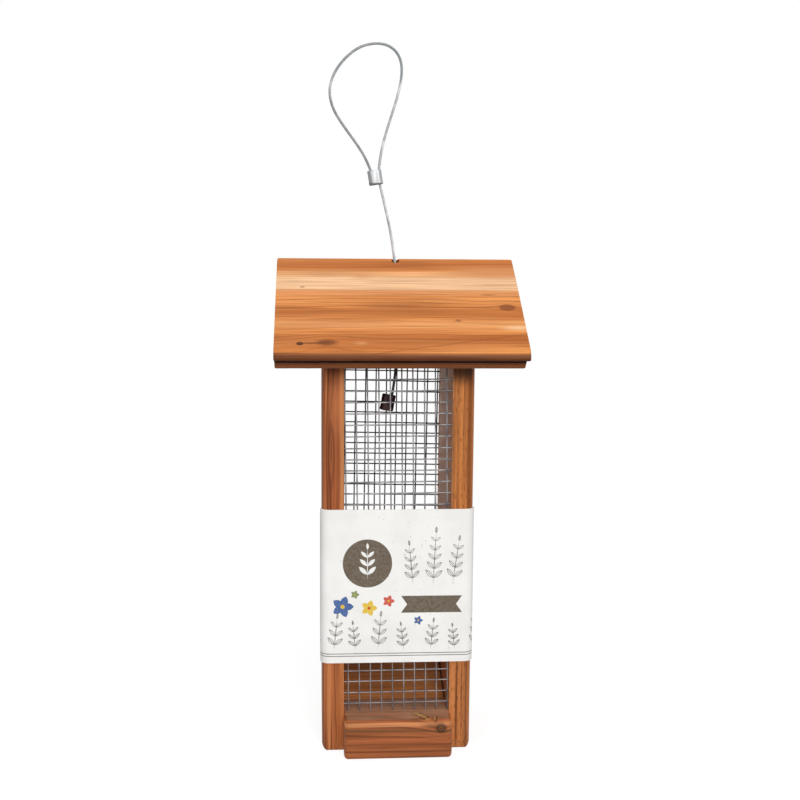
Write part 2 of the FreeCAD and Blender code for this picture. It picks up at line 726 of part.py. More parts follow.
def check(doc, pieces):
    """Stops on any failed feature, or any piece that isn't made of sound solids."""
    for item in doc.Objects:
        if "Invalid" in item.State or "Error" in item.State:
            raise RuntimeError(f"{item.Label} failed: {item.State}")
    for piece in pieces:
        shape = piece.Shape
        if shape.isNull() or not shape.isValid() or not shape.Solids:
            raise RuntimeError(f"{piece.Label} has no sound solid")


def main():
    doc, pieces = build()
    check(doc, pieces)
    os.makedirs("parts", exist_ok=True)
    for piece in pieces:
        piece.Shape.exportStep(os.path.join("parts", f"{piece.Label}.step"))
        print(f"{piece.Label}: {len(piece.Shape.Solids)} solid(s), {piece.Shape.Volume:.1f} mm3")


main()
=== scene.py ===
"""Dresses the hanging peanut feeder: oiled cedar, welded mesh, wire rope and a card sleeve."""
import logging
import math
import random
from dataclasses import dataclass
from enum import Enum

import bmesh
import bpy
from mathutils import Matrix, Vector, noise


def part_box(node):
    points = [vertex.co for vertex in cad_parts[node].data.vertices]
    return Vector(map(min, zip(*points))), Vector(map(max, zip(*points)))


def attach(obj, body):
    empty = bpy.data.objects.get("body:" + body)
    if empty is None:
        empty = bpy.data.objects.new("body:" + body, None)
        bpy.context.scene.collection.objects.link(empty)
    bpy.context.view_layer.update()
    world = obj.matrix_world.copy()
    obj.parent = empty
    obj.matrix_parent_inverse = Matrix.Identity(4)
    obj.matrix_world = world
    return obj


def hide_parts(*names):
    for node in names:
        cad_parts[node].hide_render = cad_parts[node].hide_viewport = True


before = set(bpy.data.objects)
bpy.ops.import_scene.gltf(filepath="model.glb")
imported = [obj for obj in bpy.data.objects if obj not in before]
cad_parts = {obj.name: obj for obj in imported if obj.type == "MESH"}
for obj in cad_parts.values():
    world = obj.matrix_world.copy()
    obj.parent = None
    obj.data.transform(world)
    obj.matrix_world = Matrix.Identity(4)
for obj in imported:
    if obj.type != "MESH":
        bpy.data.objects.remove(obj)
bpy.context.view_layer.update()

MM = 0.001
LOG = logging.getLogger("feeder")

Colour = tuple[float, float, float]
Socket = bpy.types.NodeSocket
Spot = tuple[Socket, Socket]
Ring = list[bmesh.types.BMVert]


def linear(colour: Colour) -> tuple[float, float, float, float]:
    """Turns a screen colour of 0 to 255 into the linear colour that a shader takes."""
    channels = []
    for value in colour:
        share = value / 255
        channels.append(share / 12.92 if share <= 0.04045 else ((share + 0.055) / 1.055) ** 2.4)
    return (*channels, 1.0)


class Graph:
    """The node tree of a material or a world, with short ways to add and join nodes."""

    def __init__(self, owner: bpy.types.Material | bpy.types.World) -> None:
        """Starts an empty tree in a new material or world."""
        self.owner = owner
        owner.use_nodes = True
        self.tree = owner.node_tree
        self.tree.nodes.clear()

    def add(self, kind: str, **settings: object) -> bpy.types.Node:
        """Adds a node.

        Args:
            kind: the node's type name.
            settings: properties to set on the node.

        Returns:
            The new node.
        """
        node = self.tree.nodes.new(kind)
        for key, value in settings.items():
            setattr(node, key, value)
        return node

    def feed(self, socket: Socket, value: object) -> None:
        """Links an output to a socket, or sets a plain value on it."""
        if isinstance(value, Socket):
            self.tree.links.new(value, socket)
        else:
            socket.default_value = value

    def math(self, operation: str, *values: object, clamp: bool = False) -> Socket:
        """Adds a math node and returns its result."""
        node = self.add("ShaderNodeMath", operation=operation, use_clamp=clamp)
        for socket, value in zip(node.inputs, values):
            self.feed(socket, value)
        return node.outputs[0]

    def vector(self, operation: str, *values: object) -> Socket:
        """Adds a vector math node and returns its vector."""
        node = self.add("ShaderNodeVectorMath", operation=operation)
        for socket, value in zip(node.inputs, values):
            self.feed(socket, value)
        return node.outputs["Vector"]

    def length(self, value: Socket) -> Socket:
        """Returns the length of a vector."""
        node = self.add("ShaderNodeVectorMath", operation="LENGTH")
        self.feed(node.inputs[0], value)
        return node.outputs["Value"]

    def scaled(self, value: object, factor: object) -> Socket:
        """Returns a vector or colour times a number."""
        node = self.add("ShaderNodeVectorMath", operation="SCALE")
        self.feed(node.inputs[0], value)
        self.feed(node.inputs["Scale"], factor)
        return node.outputs["Vector"]

    def noise(self, place: Socket, scale: float, detail: float = 2.0) -> Socket:
        """Returns smooth noise of about 0 to 1 at a place."""
        node = self.add("ShaderNodeTexNoise")
        self.feed(node.inputs["Vector"], place)
        node.inputs["Scale"].default_value = scale
        node.inputs["Detail"].default_value = detail
        return node.outputs["Fac"]

    def smooth(self, value: object, low: float, high: float) -> Socket:
        """Returns a smooth rise from 0 at low to 1 at high; low may be the larger one."""
        node = self.add("ShaderNodeMapRange", interpolation_type="SMOOTHSTEP")
        falls = low > high
        for key, setting in (
            ("Value", value),
            ("From Min", min(low, high)),
            ("From Max", max(low, high)),
            ("To Min", 1.0 if falls else 0.0),
            ("To Max", 0.0 if falls else 1.0),
        ):
            self.feed(node.inputs[key], setting)
        return node.outputs["Result"]

    def mix(self, factor: object, first: object, second: object) -> Socket:
        """Returns a colour between two colours."""
        node = self.add("ShaderNodeMix", data_type="RGBA")
        for index, value in ((0, factor), (6, first), (7, second)):
            self.feed(node.inputs[index], value)
        return node.outputs[2]

    def bump(self, height: Socket, depth: float, strength: float) -> Socket:
        """Returns a normal roughened by a height of that depth in metres."""
        node = self.add("ShaderNodeBump")
        node.inputs["Strength"].default_value = strength
        node.inputs["Distance"].default_value = depth
        self.feed(node.inputs["Height"], height)
        return node.outputs["Normal"]

    def finish(self, **inputs: object) -> bpy.types.Material:
        """Closes the material with a shader.

        Args:
            inputs: values or outputs for the shader's sockets, with _ for a space.

        Returns:
            The finished material.
        """
        shader = self.add("ShaderNodeBsdfPrincipled")
        for key, value in inputs.items():
            self.feed(shader.inputs[key.replace("_", " ")], value)
        output = self.add("ShaderNodeOutputMaterial")
        self.tree.links.new(shader.outputs[0], output.inputs[0])
        return self.owner


@dataclass(frozen=True)
class RoofShape:
    """The roof's sizes, which its two boards and their grain share."""

    pitch: float = math.radians(34.1)
    width: float = 87.8 * MM
    thick: float = 10.5 * MM
    lip: float = 4.2 * MM
    groove: float = 1.8 * MM
    groove_depth: float = 3.5 * MM
    setback: float = 0.9 * MM
    nose_round: float = 3.2 * MM
    nose_stretch: float = 1.4
    under_round: float = 2.0 * MM
    lip_round: float = 0.8 * MM
    hole: float = 4.5 * MM
    hole_front: float = 1.2 * MM

    @property
    def ridge(self) -> float:
        """Height of the ridge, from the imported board."""
        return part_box("roof_front_board")[1][2]

    def spot(self, face: int, along: float, below: float) -> tuple[float, float]:
        """Returns Y and Z of a point down a slope and square below its surface."""
        y = face * (along * math.cos(self.pitch) - below * math.sin(self.pitch))
        z = self.ridge - along * math.sin(self.pitch) - below * math.cos(self.pitch)
        return y, z


ROOF = RoofShape()


class Grain(Enum):
    """Which way the grain of a board runs."""

    ALONG_X = "along x"
    ALONG_Z = "along z"
    ROOF_FRONT = "front roof slope"
    ROOF_BACK = "back roof slope"

    @property
    def turn(self) -> tuple[float, float, float]:
        """Rotation that brings the grain onto X and the board's face square to Z or Y."""
        turns = {
            Grain.ALONG_X: (0.0, 0.0, 0.0),
            Grain.ALONG_Z: (0.0, math.pi / 2, 0.0),
            Grain.ROOF_FRONT: (-ROOF.pitch, 0.0, 0.0),
            Grain.ROOF_BACK: (ROOF.pitch, 0.0, 0.0),
        }
        return turns[self]

    @property
    def shift(self) -> tuple[float, float, float]:
        """Millimetres that put the roof slopes' zero at the ridge."""
        down = ROOF.ridge / MM * math.sin(ROOF.pitch)
        up = ROOF.ridge / MM * math.cos(ROOF.pitch)
        shifts = {Grain.ROOF_FRONT: (0.0, -down, -up), Grain.ROOF_BACK: (0.0, down, -up)}
        return shifts.get(self, (0.0, 0.0, 0.0))


@dataclass(frozen=True)
class KnotOrPaintedLight:
    """A knot or an eye in the grain, or a patch of painted shadow or light, in millimetres of the board's
    grain axes.
    """

    place: tuple[float, float, float]
    size: tuple[float, float, float]
    bulge: float = 0.0
    dark: float = 0.85
    colour: Colour = (94, 44, 14)
    soft: float = 0.6


@dataclass(frozen=True)
class Band:
    """A band along the grain of paler or darker wood or of painted shade or light, in millimetres across the
    board.
    """

    middle: float
    half: float
    soft: float
    strength: float
    colour: Colour
    axis: str = "Y"
    sway: float = 0.3
    lean: float = 0.0


@dataclass(frozen=True)
class Weave:
    """Noise drawn out along the grain: cells per millimetre each way, its own shift and its octaves."""

    along: float
    across: float
    step: float
    detail: float = 2.0


SLOW_SWAY = Weave(0.006, 0.035, 1.0)
FINE_SWAY = Weave(0.025, 0.25, 2.0)
FIBRES = Weave(0.02, 1.1, 3.0, detail=4.0)
BROAD_TONES = Weave(0.007, 0.09, 4.0)
DASHES = Weave(0.22, 1.9, 5.0)
STREAKS = Weave(0.012, 0.55, 6.0)
# How fast the grain straightens out round a knot
BEND_FADE = -0.35


@dataclass(frozen=True)
class Cedar:
    """Oiled cedar with growth rings about a heart, fibres, bands and knots, where some bands and knots are
    patches of painted shade or light.
    """

    name: str
    grain: Grain
    tone: Colour
    warm: Colour
    deep: Colour
    heart: tuple[float, float] = (90.0, -60.0)
    ring: float = 3.4
    contrast: float = 0.75
    seed: float = 0.0
    bands: tuple[Band, ...] = ()
    marks: tuple[KnotOrPaintedLight, ...] = ()
    wander: float = 9.0
    streaks: float = 0.5
    specks: float = 0.35
    early: float = 0.25

    def board_place(self, graph: Graph) -> Socket:
        """Returns the place on the board in millimetres, with the grain along X."""
        mapping = graph.add("ShaderNodeMapping")
        graph.feed(mapping.inputs["Vector"], graph.add("ShaderNodeTexCoord").outputs["Object"])
        mapping.inputs["Scale"].default_value = (1 / MM,) * 3
        mapping.inputs["Rotation"].default_value = self.grain.turn
        mapping.inputs["Location"].default_value = self.grain.shift
        return mapping.outputs["Vector"]

    def stretched(self, graph: Graph, place: Socket, weave: Weave) -> Socket:
        """Returns noise drawn out along the grain.

        Args:
            graph: the material's nodes.
            place: the place on the board.
            weave: how the noise is drawn out; its step keeps two noises from matching.

        Returns:
            The noise value.
        """
        shift = (self.seed * 7.31 + weave.step, self.seed * 3.17 - weave.step, self.seed + weave.step)
        moved = graph.vector("MULTIPLY_ADD", place, (weave.along, weave.across, weave.across), shift)
        return graph.noise(moved, 1.0, weave.detail)

    def material(self) -> bpy.types.Material:
        """Builds the wood."""
        graph = Graph(bpy.data.materials.new(self.name))
        place = self.board_place(graph)
        slow = graph.math("SUBTRACT", self.stretched(graph, place, SLOW_SWAY), 0.5)
        fine = graph.math("SUBTRACT", self.stretched(graph, place, FINE_SWAY), 0.5)
        wander = graph.math("MULTIPLY", slow, self.wander)
        bent = graph.math("MULTIPLY_ADD", fine, 1.6, wander)
        reaches = [self.mark_reach(graph, place, bent, mark) for mark in self.marks]
        for mark, reach in zip(self.marks, reaches):
            square = graph.math("POWER", reach, 2.0)
            fall = graph.math("POWER", math.e, graph.math("MULTIPLY", square, BEND_FADE))
            bent = graph.math("MULTIPLY_ADD", fall, mark.bulge, bent)
        across = graph.vector("MULTIPLY_ADD", place, (0, 1, 1), (0, -self.heart[0], -self.heart[1]))
        phase = graph.math("DIVIDE", graph.math("ADD", graph.length(across), bent), self.ring)
        share = graph.math("FRACT", phase)
        late = graph.math("MULTIPLY", graph.smooth(share, self.early, 0.9), graph.smooth(share, 1.0, 0.93))
        each = graph.add("ShaderNodeTexWhiteNoise", noise_dimensions="1D")
        graph.feed(each.inputs["W"], graph.math("ADD", graph.math("FLOOR", phase), self.seed))
        weight = graph.math("POWER", each.outputs["Value"], 1.3)
        dark = graph.math("MULTIPLY", late, graph.math("MULTIPLY_ADD", weight, 0.9, 0.1))
        fibre = self.stretched(graph, place, FIBRES)
        broad = graph.smooth(self.stretched(graph, place, BROAD_TONES), 0.32, 0.68)
        colour = graph.mix(broad, linear(self.tone), linear(self.warm))
        colour = graph.mix(graph.math("MULTIPLY", dark, self.contrast), colour, linear(self.deep))
        streak = graph.smooth(self.stretched(graph, place, STREAKS), 0.54, 0.74)
        colour = graph.mix(graph.math("MULTIPLY", streak, self.streaks), colour, linear(self.deep))
        for band in self.bands:
            colour = self.banded(graph, place, bent, fibre, colour, band)
        colour = graph.scaled(colour, graph.math("MULTIPLY_ADD", fibre, 1.15, 0.44))
        for mark, reach in zip(self.marks, reaches):
            colour = self.marked(graph, colour, mark, reach)
        dashes = self.stretched(graph, place, DASHES)
        speck = graph.smooth(dashes, 0.7 - 0.1 * self.specks, 0.8 - 0.08 * self.specks)
        colour = graph.mix(graph.math("MULTIPLY", speck, 0.5 * self.specks), colour, linear(self.deep))
        height = graph.math("MULTIPLY_ADD", dark, 0.5, fibre)
        return graph.finish(
            Base_Color=colour,
            Roughness=graph.math("MULTIPLY_ADD", fibre, 0.25, 0.4),
            Normal=graph.bump(height, 0.25 * MM, 0.35),
            Specular_IOR_Level=0.2,
        )

    def mark_reach(self, graph: Graph, place: Socket, bent: Socket, mark: KnotOrPaintedLight) -> Socket:
        """Returns the distance from a knot in its own radii, a little uneven."""
        away = graph.vector("SUBTRACT", place, mark.place)
        reach = graph.length(graph.vector("DIVIDE", away, mark.size))
        return graph.math("MULTIPLY_ADD", bent, 0.02, reach)

    def marked(self, graph: Graph, colour: Socket, mark: KnotOrPaintedLight, reach: Socket) -> Socket:
        """Lays the colour of a knot or of a patch of painted shadow or light over the wood, with fine rings
        in it.
        """
        wave = graph.math("SINE", graph.math("MULTIPLY", reach, 16.0))
        rings = graph.math("MULTIPLY_ADD", wave, 0.08, 0.92)
        inside = graph.smooth(reach, 1.05, 1.05 - mark.soft)
        mask = graph.math("MULTIPLY", inside, graph.math("MULTIPLY", rings, mark.dark))
        return graph.mix(mask, colour, linear(mark.colour))

    def banded(
        self, graph: Graph, place: Socket, bent: Socket, fibre: Socket, colour: Socket, band: Band
    ) -> Socket:
        """Lays a pale or dark band along the grain over a colour."""
        split = graph.add("ShaderNodeSeparateXYZ")
        graph.feed(split.inputs[0], place)
        swayed = graph.math("MULTIPLY_ADD", bent, band.sway, split.outputs[band.axis])
        leaning = graph.math("MULTIPLY_ADD", split.outputs["X"], -band.lean, swayed)
        off = graph.math("SUBTRACT", leaning, band.middle)
        mask = graph.smooth(graph.math("ABSOLUTE", off), band.half, band.half - band.soft)
        mask = graph.math("MULTIPLY", mask, graph.math("MULTIPLY_ADD", fibre, 0.9, 0.5), clamp=True)
        return graph.mix(graph.math("MULTIPLY", mask, band.strength), colour, linear(band.colour))


# Places on the panels are height, depth and distance to the left.
# Those on the roof are distance along the ridge, down the slope and below.
PALE = (236, 190, 146)
# Painted shade over every roof face more than about a millimetre below the top: the eave edge, the board
# ends and the underside
EAVE_SHADE = Band(middle=-9.0, half=8.9, soft=1.0, strength=1.0, colour=(94, 46, 15), axis="Z", sway=0.1)
# A lighter painted shade on the eave's lower lip, laid over the one above
LOWER_LIP_SHADE = Band(middle=-9.4, half=2.8, soft=1.0, strength=0.7, colour=(136, 78, 38), axis="Z", sway=0.1)
# Painted shade in and round the eave's groove
GROOVE_SHADE = Band(middle=-4.6, half=2.6, soft=1.8, strength=0.8, colour=(48, 20, 6), axis="Z", sway=0.1)
# Painted shadow of the roof on the upper front of each side panel
ROOF_SHADOW_LEFT = KnotOrPaintedLight(
    (240.0, -40.5, 36.4), (24.0, 5.5, 22.0), dark=0.85, soft=0.34, colour=(40, 15, 6)
)
ROOF_SHADOW_RIGHT = KnotOrPaintedLight(
    (239.0, -40.5, -36.4), (28.5, 5.5, 22.0), dark=0.95, soft=0.34, colour=(24, 8, 4)
)
CEDAR_ROOF_FRONT = Cedar(
    name="cedar_roof_front",
    grain=Grain.ROOF_FRONT,
    tone=(224, 146, 80),
    warm=(184, 104, 42),
    deep=(122, 60, 16),
    heart=(90.0, -70.0),
    ring=3.1,
    contrast=0.85,
    seed=1.0,
    streaks=0.4,
    early=0.62,
    bands=(
        Band(middle=-5.5, half=6.5, soft=4.0, strength=0.4, colour=(180, 102, 46)),
        Band(middle=-51.0, half=7.0, soft=6.0, strength=0.55, colour=(172, 96, 38)),
        Band(middle=-75.5, half=6.5, soft=5.0, strength=0.55, colour=(158, 84, 32)),
        Band(middle=-33.0, half=3.0, soft=1.6, strength=0.8, colour=(222, 150, 92), sway=0.15),
        Band(middle=-61.0, half=5.0, soft=3.6, strength=0.75, colour=(226, 156, 96), sway=0.2),
        Band(middle=-23.6, half=8.2, soft=3.4, strength=0.95, colour=PALE, sway=0.15),
        Band(middle=-15.0, half=3.6, soft=2.4, strength=0.75, colour=(226, 168, 116), sway=0.15),
        Band(middle=-82.4, half=0.8, soft=0.8, strength=0.4, colour=(120, 60, 20), sway=0.5, lean=0.2),
        Band(middle=-85.4, half=0.9, soft=0.8, strength=0.6, colour=(112, 58, 22), sway=0.35),
        EAVE_SHADE,
        LOWER_LIP_SHADE,
        GROOVE_SHADE,
    ),
    marks=(
        KnotOrPaintedLight((2.0, -45.0, 0.0), (36.0, 9.0, 40.0), bulge=3.0, dark=0.4, soft=1.0, colour=(146, 80, 32)),
        KnotOrPaintedLight((10.0, -5.0, 0.0), (26.0, 6.0, 40.0), dark=0.35, soft=1.0, colour=(146, 80, 32)),
        KnotOrPaintedLight((58.0, -13.5, 0.0), (46.0, 8.6, 40.0), bulge=1.0, dark=0.85, soft=0.9, colour=(208, 138, 86)),
        KnotOrPaintedLight((-20.0, -17.5, 0.0), (9.0, 4.0, 40.0), bulge=0.5, dark=0.5, soft=1.0, colour=(206, 140, 88)),
        KnotOrPaintedLight((64.0, -64.0, 0.0), (13.0, 3.0, 40.0), dark=0.8, soft=0.9, colour=(244, 198, 152)),
        KnotOrPaintedLight((59.8, -45.9, 0.0), (5.2, 3.4, 40.0), bulge=2.0, dark=0.8, soft=0.4, colour=(122, 58, 18)),
        KnotOrPaintedLight((50.3, -34.4, 0.0), (6.0, 0.7, 40.0), dark=0.6),
        KnotOrPaintedLight((-54.2, -77.7, 0.0), (2.3, 1.7, 40.0), bulge=1.5, dark=1.0, soft=0.4, colour=(62, 28, 12)),
        KnotOrPaintedLight((-48.0, -77.4, 0.0), (10.0, 0.9, 40.0), dark=0.75),
        KnotOrPaintedLight((-39.9, -76.7, 0.0), (8.0, 3.8, 40.0), bulge=5.0, dark=0.85, soft=0.8),
        KnotOrPaintedLight((-21.9, -77.3, 0.0), (5.0, 2.6, 40.0), bulge=1.0, dark=0.35, soft=1.0, colour=(232, 172, 124)),
        KnotOrPaintedLight((31.5, -57.6, 0.0), (2.6, 1.6, 40.0), bulge=1.0, dark=0.6, soft=0.9),
        KnotOrPaintedLight((-53.3, -27.7, 0.0), (1.8, 1.1, 40.0), dark=0.5),
    ),
)
CEDAR_ROOF_BACK = Cedar(
    name="cedar_roof_back",
    grain=Grain.ROOF_BACK,
    tone=(210, 134, 74),
    warm=(182, 104, 50),
    deep=(120, 60, 22),
    heart=(-70.0, -90.0),
    ring=3.8,
    contrast=0.8,
    seed=5.4,
    bands=(Band(middle=58.0, half=9.0, soft=6.0, strength=0.7, colour=(232, 180, 128)), EAVE_SHADE),
    marks=(KnotOrPaintedLight((22.0, 35.0, 0.0), (5.5, 3.4, 40.0), bulge=4.0, dark=0.75),),
)
CEDAR_LEFT = Cedar(
    name="cedar_left_panel",
    grain=Grain.ALONG_Z,
    tone=(216, 130, 76),
    warm=(162, 88, 48),
    deep=(78, 36, 18),
    heart=(30.0, 120.0),
    ring=2.1,
    contrast=1.25,
    seed=2.3,
    early=0.54,
    bands=(
        Band(middle=31.0, half=2.2, soft=1.4, strength=0.6, colour=(218, 146, 90), axis="Z", sway=0.08),
        # Painted shade on the rounded outer front edge
        Band(middle=43.4, half=2.8, soft=2.4, strength=0.6, colour=(92, 46, 24), axis="Z", sway=0.05),
        Band(middle=39.0, half=0.9, soft=0.7, strength=0.6, colour=(104, 50, 22), axis="Z", sway=0.1),
    ),
    marks=(
        # Painted light on the upper front, offsetting the roof's shadow there
        KnotOrPaintedLight((200.0, -39.0, 34.0), (26.0, 30.0, 8.0), dark=0.4, soft=1.0, colour=(228, 140, 82)),
        KnotOrPaintedLight((172.0, -39.0, 37.4), (22.0, 30.0, 2.1), bulge=2.4, dark=0.6, soft=0.4, colour=(100, 48, 22)),
        KnotOrPaintedLight((172.0, -39.0, 37.4), (16.0, 30.0, 1.4), dark=0.7, soft=0.5, colour=(172, 98, 54)),
        KnotOrPaintedLight((175.0, -39.0, 37.4), (10.0, 30.0, 0.5), dark=0.7, soft=0.7, colour=(104, 52, 24)),
        KnotOrPaintedLight((30.0, -39.0, 38.6), (46.0, 30.0, 1.4), dark=0.85, soft=0.5, colour=(214, 138, 84)),
        KnotOrPaintedLight((25.0, -39.0, 32.0), (40.0, 30.0, 2.4), dark=0.75, soft=0.6, colour=(176, 102, 54)),
        ROOF_SHADOW_LEFT,
    ),
    wander=6.0,
    streaks=0.75,
)
CEDAR_RIGHT = Cedar(
    name="cedar_right_panel",
    grain=Grain.ALONG_Z,
    tone=(212, 132, 68),
    warm=(168, 96, 46),
    deep=(84, 42, 16),
    heart=(-60.0, -130.0),
    ring=3.3,
    contrast=0.5,
    seed=7.9,
    bands=(
        Band(middle=-39.9, half=1.8, soft=1.4, strength=0.7, colour=(104, 54, 20), axis="Z", sway=0.05),
        # Painted shade on the rounded inner front edge
        Band(middle=-31.4, half=1.0, soft=0.9, strength=0.5, colour=(112, 66, 40), axis="Z", sway=0.0),
        # Painted light on the inner face
        Band(middle=-29.6, half=0.8, soft=0.1, strength=0.45, colour=(236, 176, 132), axis="Z", sway=0.0),
    ),
    marks=(
        KnotOrPaintedLight((26.0, -39.0, -36.0), (52.0, 30.0, 9.0), dark=0.45, soft=0.8, colour=(226, 146, 88)),
        KnotOrPaintedLight((26.0, -39.0, -31.8), (44.0, 30.0, 2.2), dark=0.7, soft=0.7, colour=(220, 140, 80)),
        KnotOrPaintedLight((28.0, -39.0, -34.4), (44.0, 30.0, 0.9), bulge=1.5, dark=0.85, soft=0.7, colour=(92, 46, 18)),
        KnotOrPaintedLight((34.0, -39.0, -37.4), (40.0, 30.0, 0.7), bulge=1.0, dark=0.7, soft=0.9),
        KnotOrPaintedLight((30.0, -39.0, -40.0), (40.0, 30.0, 0.6), dark=0.55, soft=0.9),
        ROOF_SHADOW_RIGHT,
    ),
    wander=6.0,
    streaks=0.65,
    specks=1.4,
)
SPLINTER = (
    KnotOrPaintedLight((15.4, -46.8, 22.0), (3.8, 3.2, 4.0), dark=0.85, soft=0.5, colour=(66, 38, 20)),
    KnotOrPaintedLight((12.4, -42.4, 22.0), (2.9, 3.0, 4.0), dark=0.7, soft=0.5, colour=(84, 50, 28)),
    KnotOrPaintedLight((11.4, -41.0, 22.0), (1.5, 2.0, 4.0), dark=0.9, soft=0.4, colour=(198, 152, 98)),
    KnotOrPaintedLight((13.2, -43.4, 22.0), (1.8, 2.0, 4.0), dark=0.9, soft=0.4, colour=(206, 158, 100)),
    KnotOrPaintedLight((15.2, -46.0, 22.0), (1.8, 2.0, 4.0), dark=0.9, soft=0.4, colour=(196, 144, 86)),
    KnotOrPaintedLight((17.0, -48.6, 22.0), (1.5, 1.6, 4.0), dark=0.9, soft=0.4, colour=(184, 130, 74)),
    KnotOrPaintedLight((21.4, -48.0, 22.0), (1.9, 4.0, 4.0), dark=0.75, soft=0.5, colour=(70, 40, 22)),
    KnotOrPaintedLight((21.2, -47.4, 22.0), (0.8, 3.0, 4.0), dark=0.85, soft=0.4, colour=(190, 134, 80)),
)
CEDAR_BASE = Cedar(
    name="cedar_base",
    grain=Grain.ALONG_X,
    tone=(182, 106, 62),
    warm=(146, 82, 46),
    deep=(84, 42, 22),
    heart=(-80.0, -55.0),
    ring=3.0,
    contrast=0.75,
    seed=3.7,
    bands=(
        Band(middle=11.5, half=2.6, soft=2.2, strength=0.5, colour=(188, 106, 62), axis="Z"),
        Band(middle=4.6, half=0.9, soft=0.8, strength=0.7, colour=(92, 48, 28), axis="Z", sway=0.1),
        Band(middle=17.2, half=1.5, soft=1.2, strength=0.7, colour=(110, 76, 44), axis="Z"),
        # Painted highlight on the rounded front crest
        Band(middle=20.2, half=1.5, soft=1.0, strength=0.75, colour=(204, 134, 82), axis="Z", sway=0.05),
        Band(middle=24.2, half=2.1, soft=0.6, strength=0.9, colour=(180, 142, 114), axis="Z", sway=0.0),
    ),
    marks=(
        KnotOrPaintedLight((20.0, -46.0, 19.4), (10.0, 18.0, 2.8), bulge=2.0, dark=0.55, soft=0.9, colour=(74, 40, 20)),
        KnotOrPaintedLight((24.6, -46.0, 17.8), (4.4, 18.0, 3.8), bulge=2.5, dark=1.0, soft=0.6, colour=(36, 20, 10)),
        KnotOrPaintedLight((24.6, -46.0, 17.8), (1.9, 18.0, 1.7), dark=0.85, soft=0.4, colour=(132, 88, 46)),
        KnotOrPaintedLight((24.6, -46.0, 17.8), (0.9, 18.0, 0.8), dark=0.9, soft=0.5, colour=(52, 30, 16)),
        *SPLINTER,
    ),
    streaks=0.55,
)
CEDAR_INSIDE = Cedar(
    name="cedar_inside",
    grain=Grain.ALONG_X,
    tone=(210, 140, 86),
    warm=(182, 114, 62),
    deep=(116, 66, 32),
    heart=(40.0, -90.0),
    ring=4.4,
    contrast=0.5,
    seed=4.6,
    marks=(
        KnotOrPaintedLight((30.2, -5.0, 30.0), (1.4, 200.0, 200.0), dark=0.85, soft=0.5, colour=(40, 22, 14)),
    ),
)


@dataclass(frozen=True)
class Shade:
    """Painted shade: a darker stretch between two heights in millimetres, left of a value of X."""

    low: float
    high: float
    soft: float
    strength: float
    colour: Colour
    left_of: float = 1000.0
    side_soft: float = 2.0


@dataclass(frozen=True)
class Metal:
    """A bare metal with a cloudy surface, fine scuffs and stretches of painted shade."""

    name: str
    pale: Colour
    dull: Colour
    rough: float
    metallic: float = 1.0
    patch: float = 180.0
    dents: float = 0.08
    shades: tuple[Shade, ...] = ()

    def material(self) -> bpy.types.Material:
        """Builds the metal."""
        graph = Graph(bpy.data.materials.new(self.name))
        place = graph.add("ShaderNodeTexCoord").outputs["Object"]
        cloud = graph.smooth(graph.noise(place, self.patch, 3.0), 0.35, 0.68)
        grit = graph.noise(place, self.patch * 14, 2.0)
        colour = graph.mix(cloud, linear(self.pale), linear(self.dull))
        split = graph.add("ShaderNodeSeparateXYZ")
        graph.feed(split.inputs[0], graph.scaled(place, 1 / MM))
        for shade in self.shades:
            above = graph.smooth(split.outputs["Z"], shade.low - shade.soft, shade.low)
            below = graph.smooth(split.outputs["Z"], shade.high + shade.soft, shade.high)
            within = graph.math("MULTIPLY", graph.math("MULTIPLY", above, below), shade.strength)
            left = graph.smooth(split.outputs["X"], shade.left_of + shade.side_soft, shade.left_of)
            mask = graph.math("MULTIPLY", within, left)
            colour = graph.mix(mask, colour, linear(shade.colour))
        return graph.finish(
            Base_Color=colour,
            Metallic=self.metallic,
            Roughness=graph.math("MULTIPLY_ADD", grit, 0.24, self.rough - 0.12),
            Normal=graph.bump(grit, 0.1 * MM, self.dents),
        )


# Painted shadow of the roof on the wires near the top
UNDER_ROOF_SHADE = Shade(low=221.0, high=260.0, soft=9.0, strength=0.8, colour=(44, 42, 54))
GALVANISED = Metal(
    "galvanised_wire", (176, 173, 173), (116, 114, 118), rough=0.52, metallic=0.6,
    # The second stretch is painted shade over the lower wires
    shades=(UNDER_ROOF_SHADE, Shade(low=10.0, high=60.0, soft=20.0, strength=0.45, colour=(126, 112, 112))),
)
SHADED_WIRE = Metal(
    "shaded_wire", (62, 64, 73), (38, 40, 48), rough=0.6, metallic=0.6, shades=(UNDER_ROOF_SHADE,)
)
ROPE_STEEL = Metal(
    "rope_steel", (204, 204, 206), (168, 170, 173), rough=0.5, metallic=0.75,
    shades=(
        # Painted shade on the cable inside the box, under the roof
        Shade(low=190.0, high=262.0, soft=10.0, strength=0.9, colour=(58, 56, 58)),
        # Painted shade on the top of the loop
        Shade(low=386.0, high=402.0, soft=9.0, strength=0.7, colour=(126, 132, 136)),
        # Painted shade on the lower left run of the loop
        Shade(low=326.0, high=366.0, soft=20.0, strength=0.6, colour=(112, 116, 120), left_of=-13.0),
    ),
)
ALUMINIUM = Metal(
    "pressed_aluminium", (190, 191, 192), (168, 169, 172), rough=0.52, metallic=0.85, dents=0.03,
    shades=(
        # Painted shade along the ferrule's lower edge
        Shade(low=320.0, high=323.0, soft=0.9, strength=0.9, colour=(70, 68, 68)),
        # Painted shade on its left side
        Shade(low=320.0, high=334.0, soft=0.9, strength=0.6, colour=(120, 120, 122), left_of=-14.0),
    ),
)
# Painted shade: the stop ferrule is made dark for the shade it hangs in inside the box
SHADED_STOP_FERRULE = Metal("painted_shade_ferrule", (78, 60, 58), (44, 35, 36), rough=0.42)
ZINC = Metal("zinc_screw", (196, 184, 152), (158, 148, 126), rough=0.38)


@dataclass(frozen=True)
class Sprig:
    """A stem with paired leaves, in millimetres on the sleeve."""

    u: float
    v: float
    tall: float
    lean: float
    pairs: int
    leaf: float


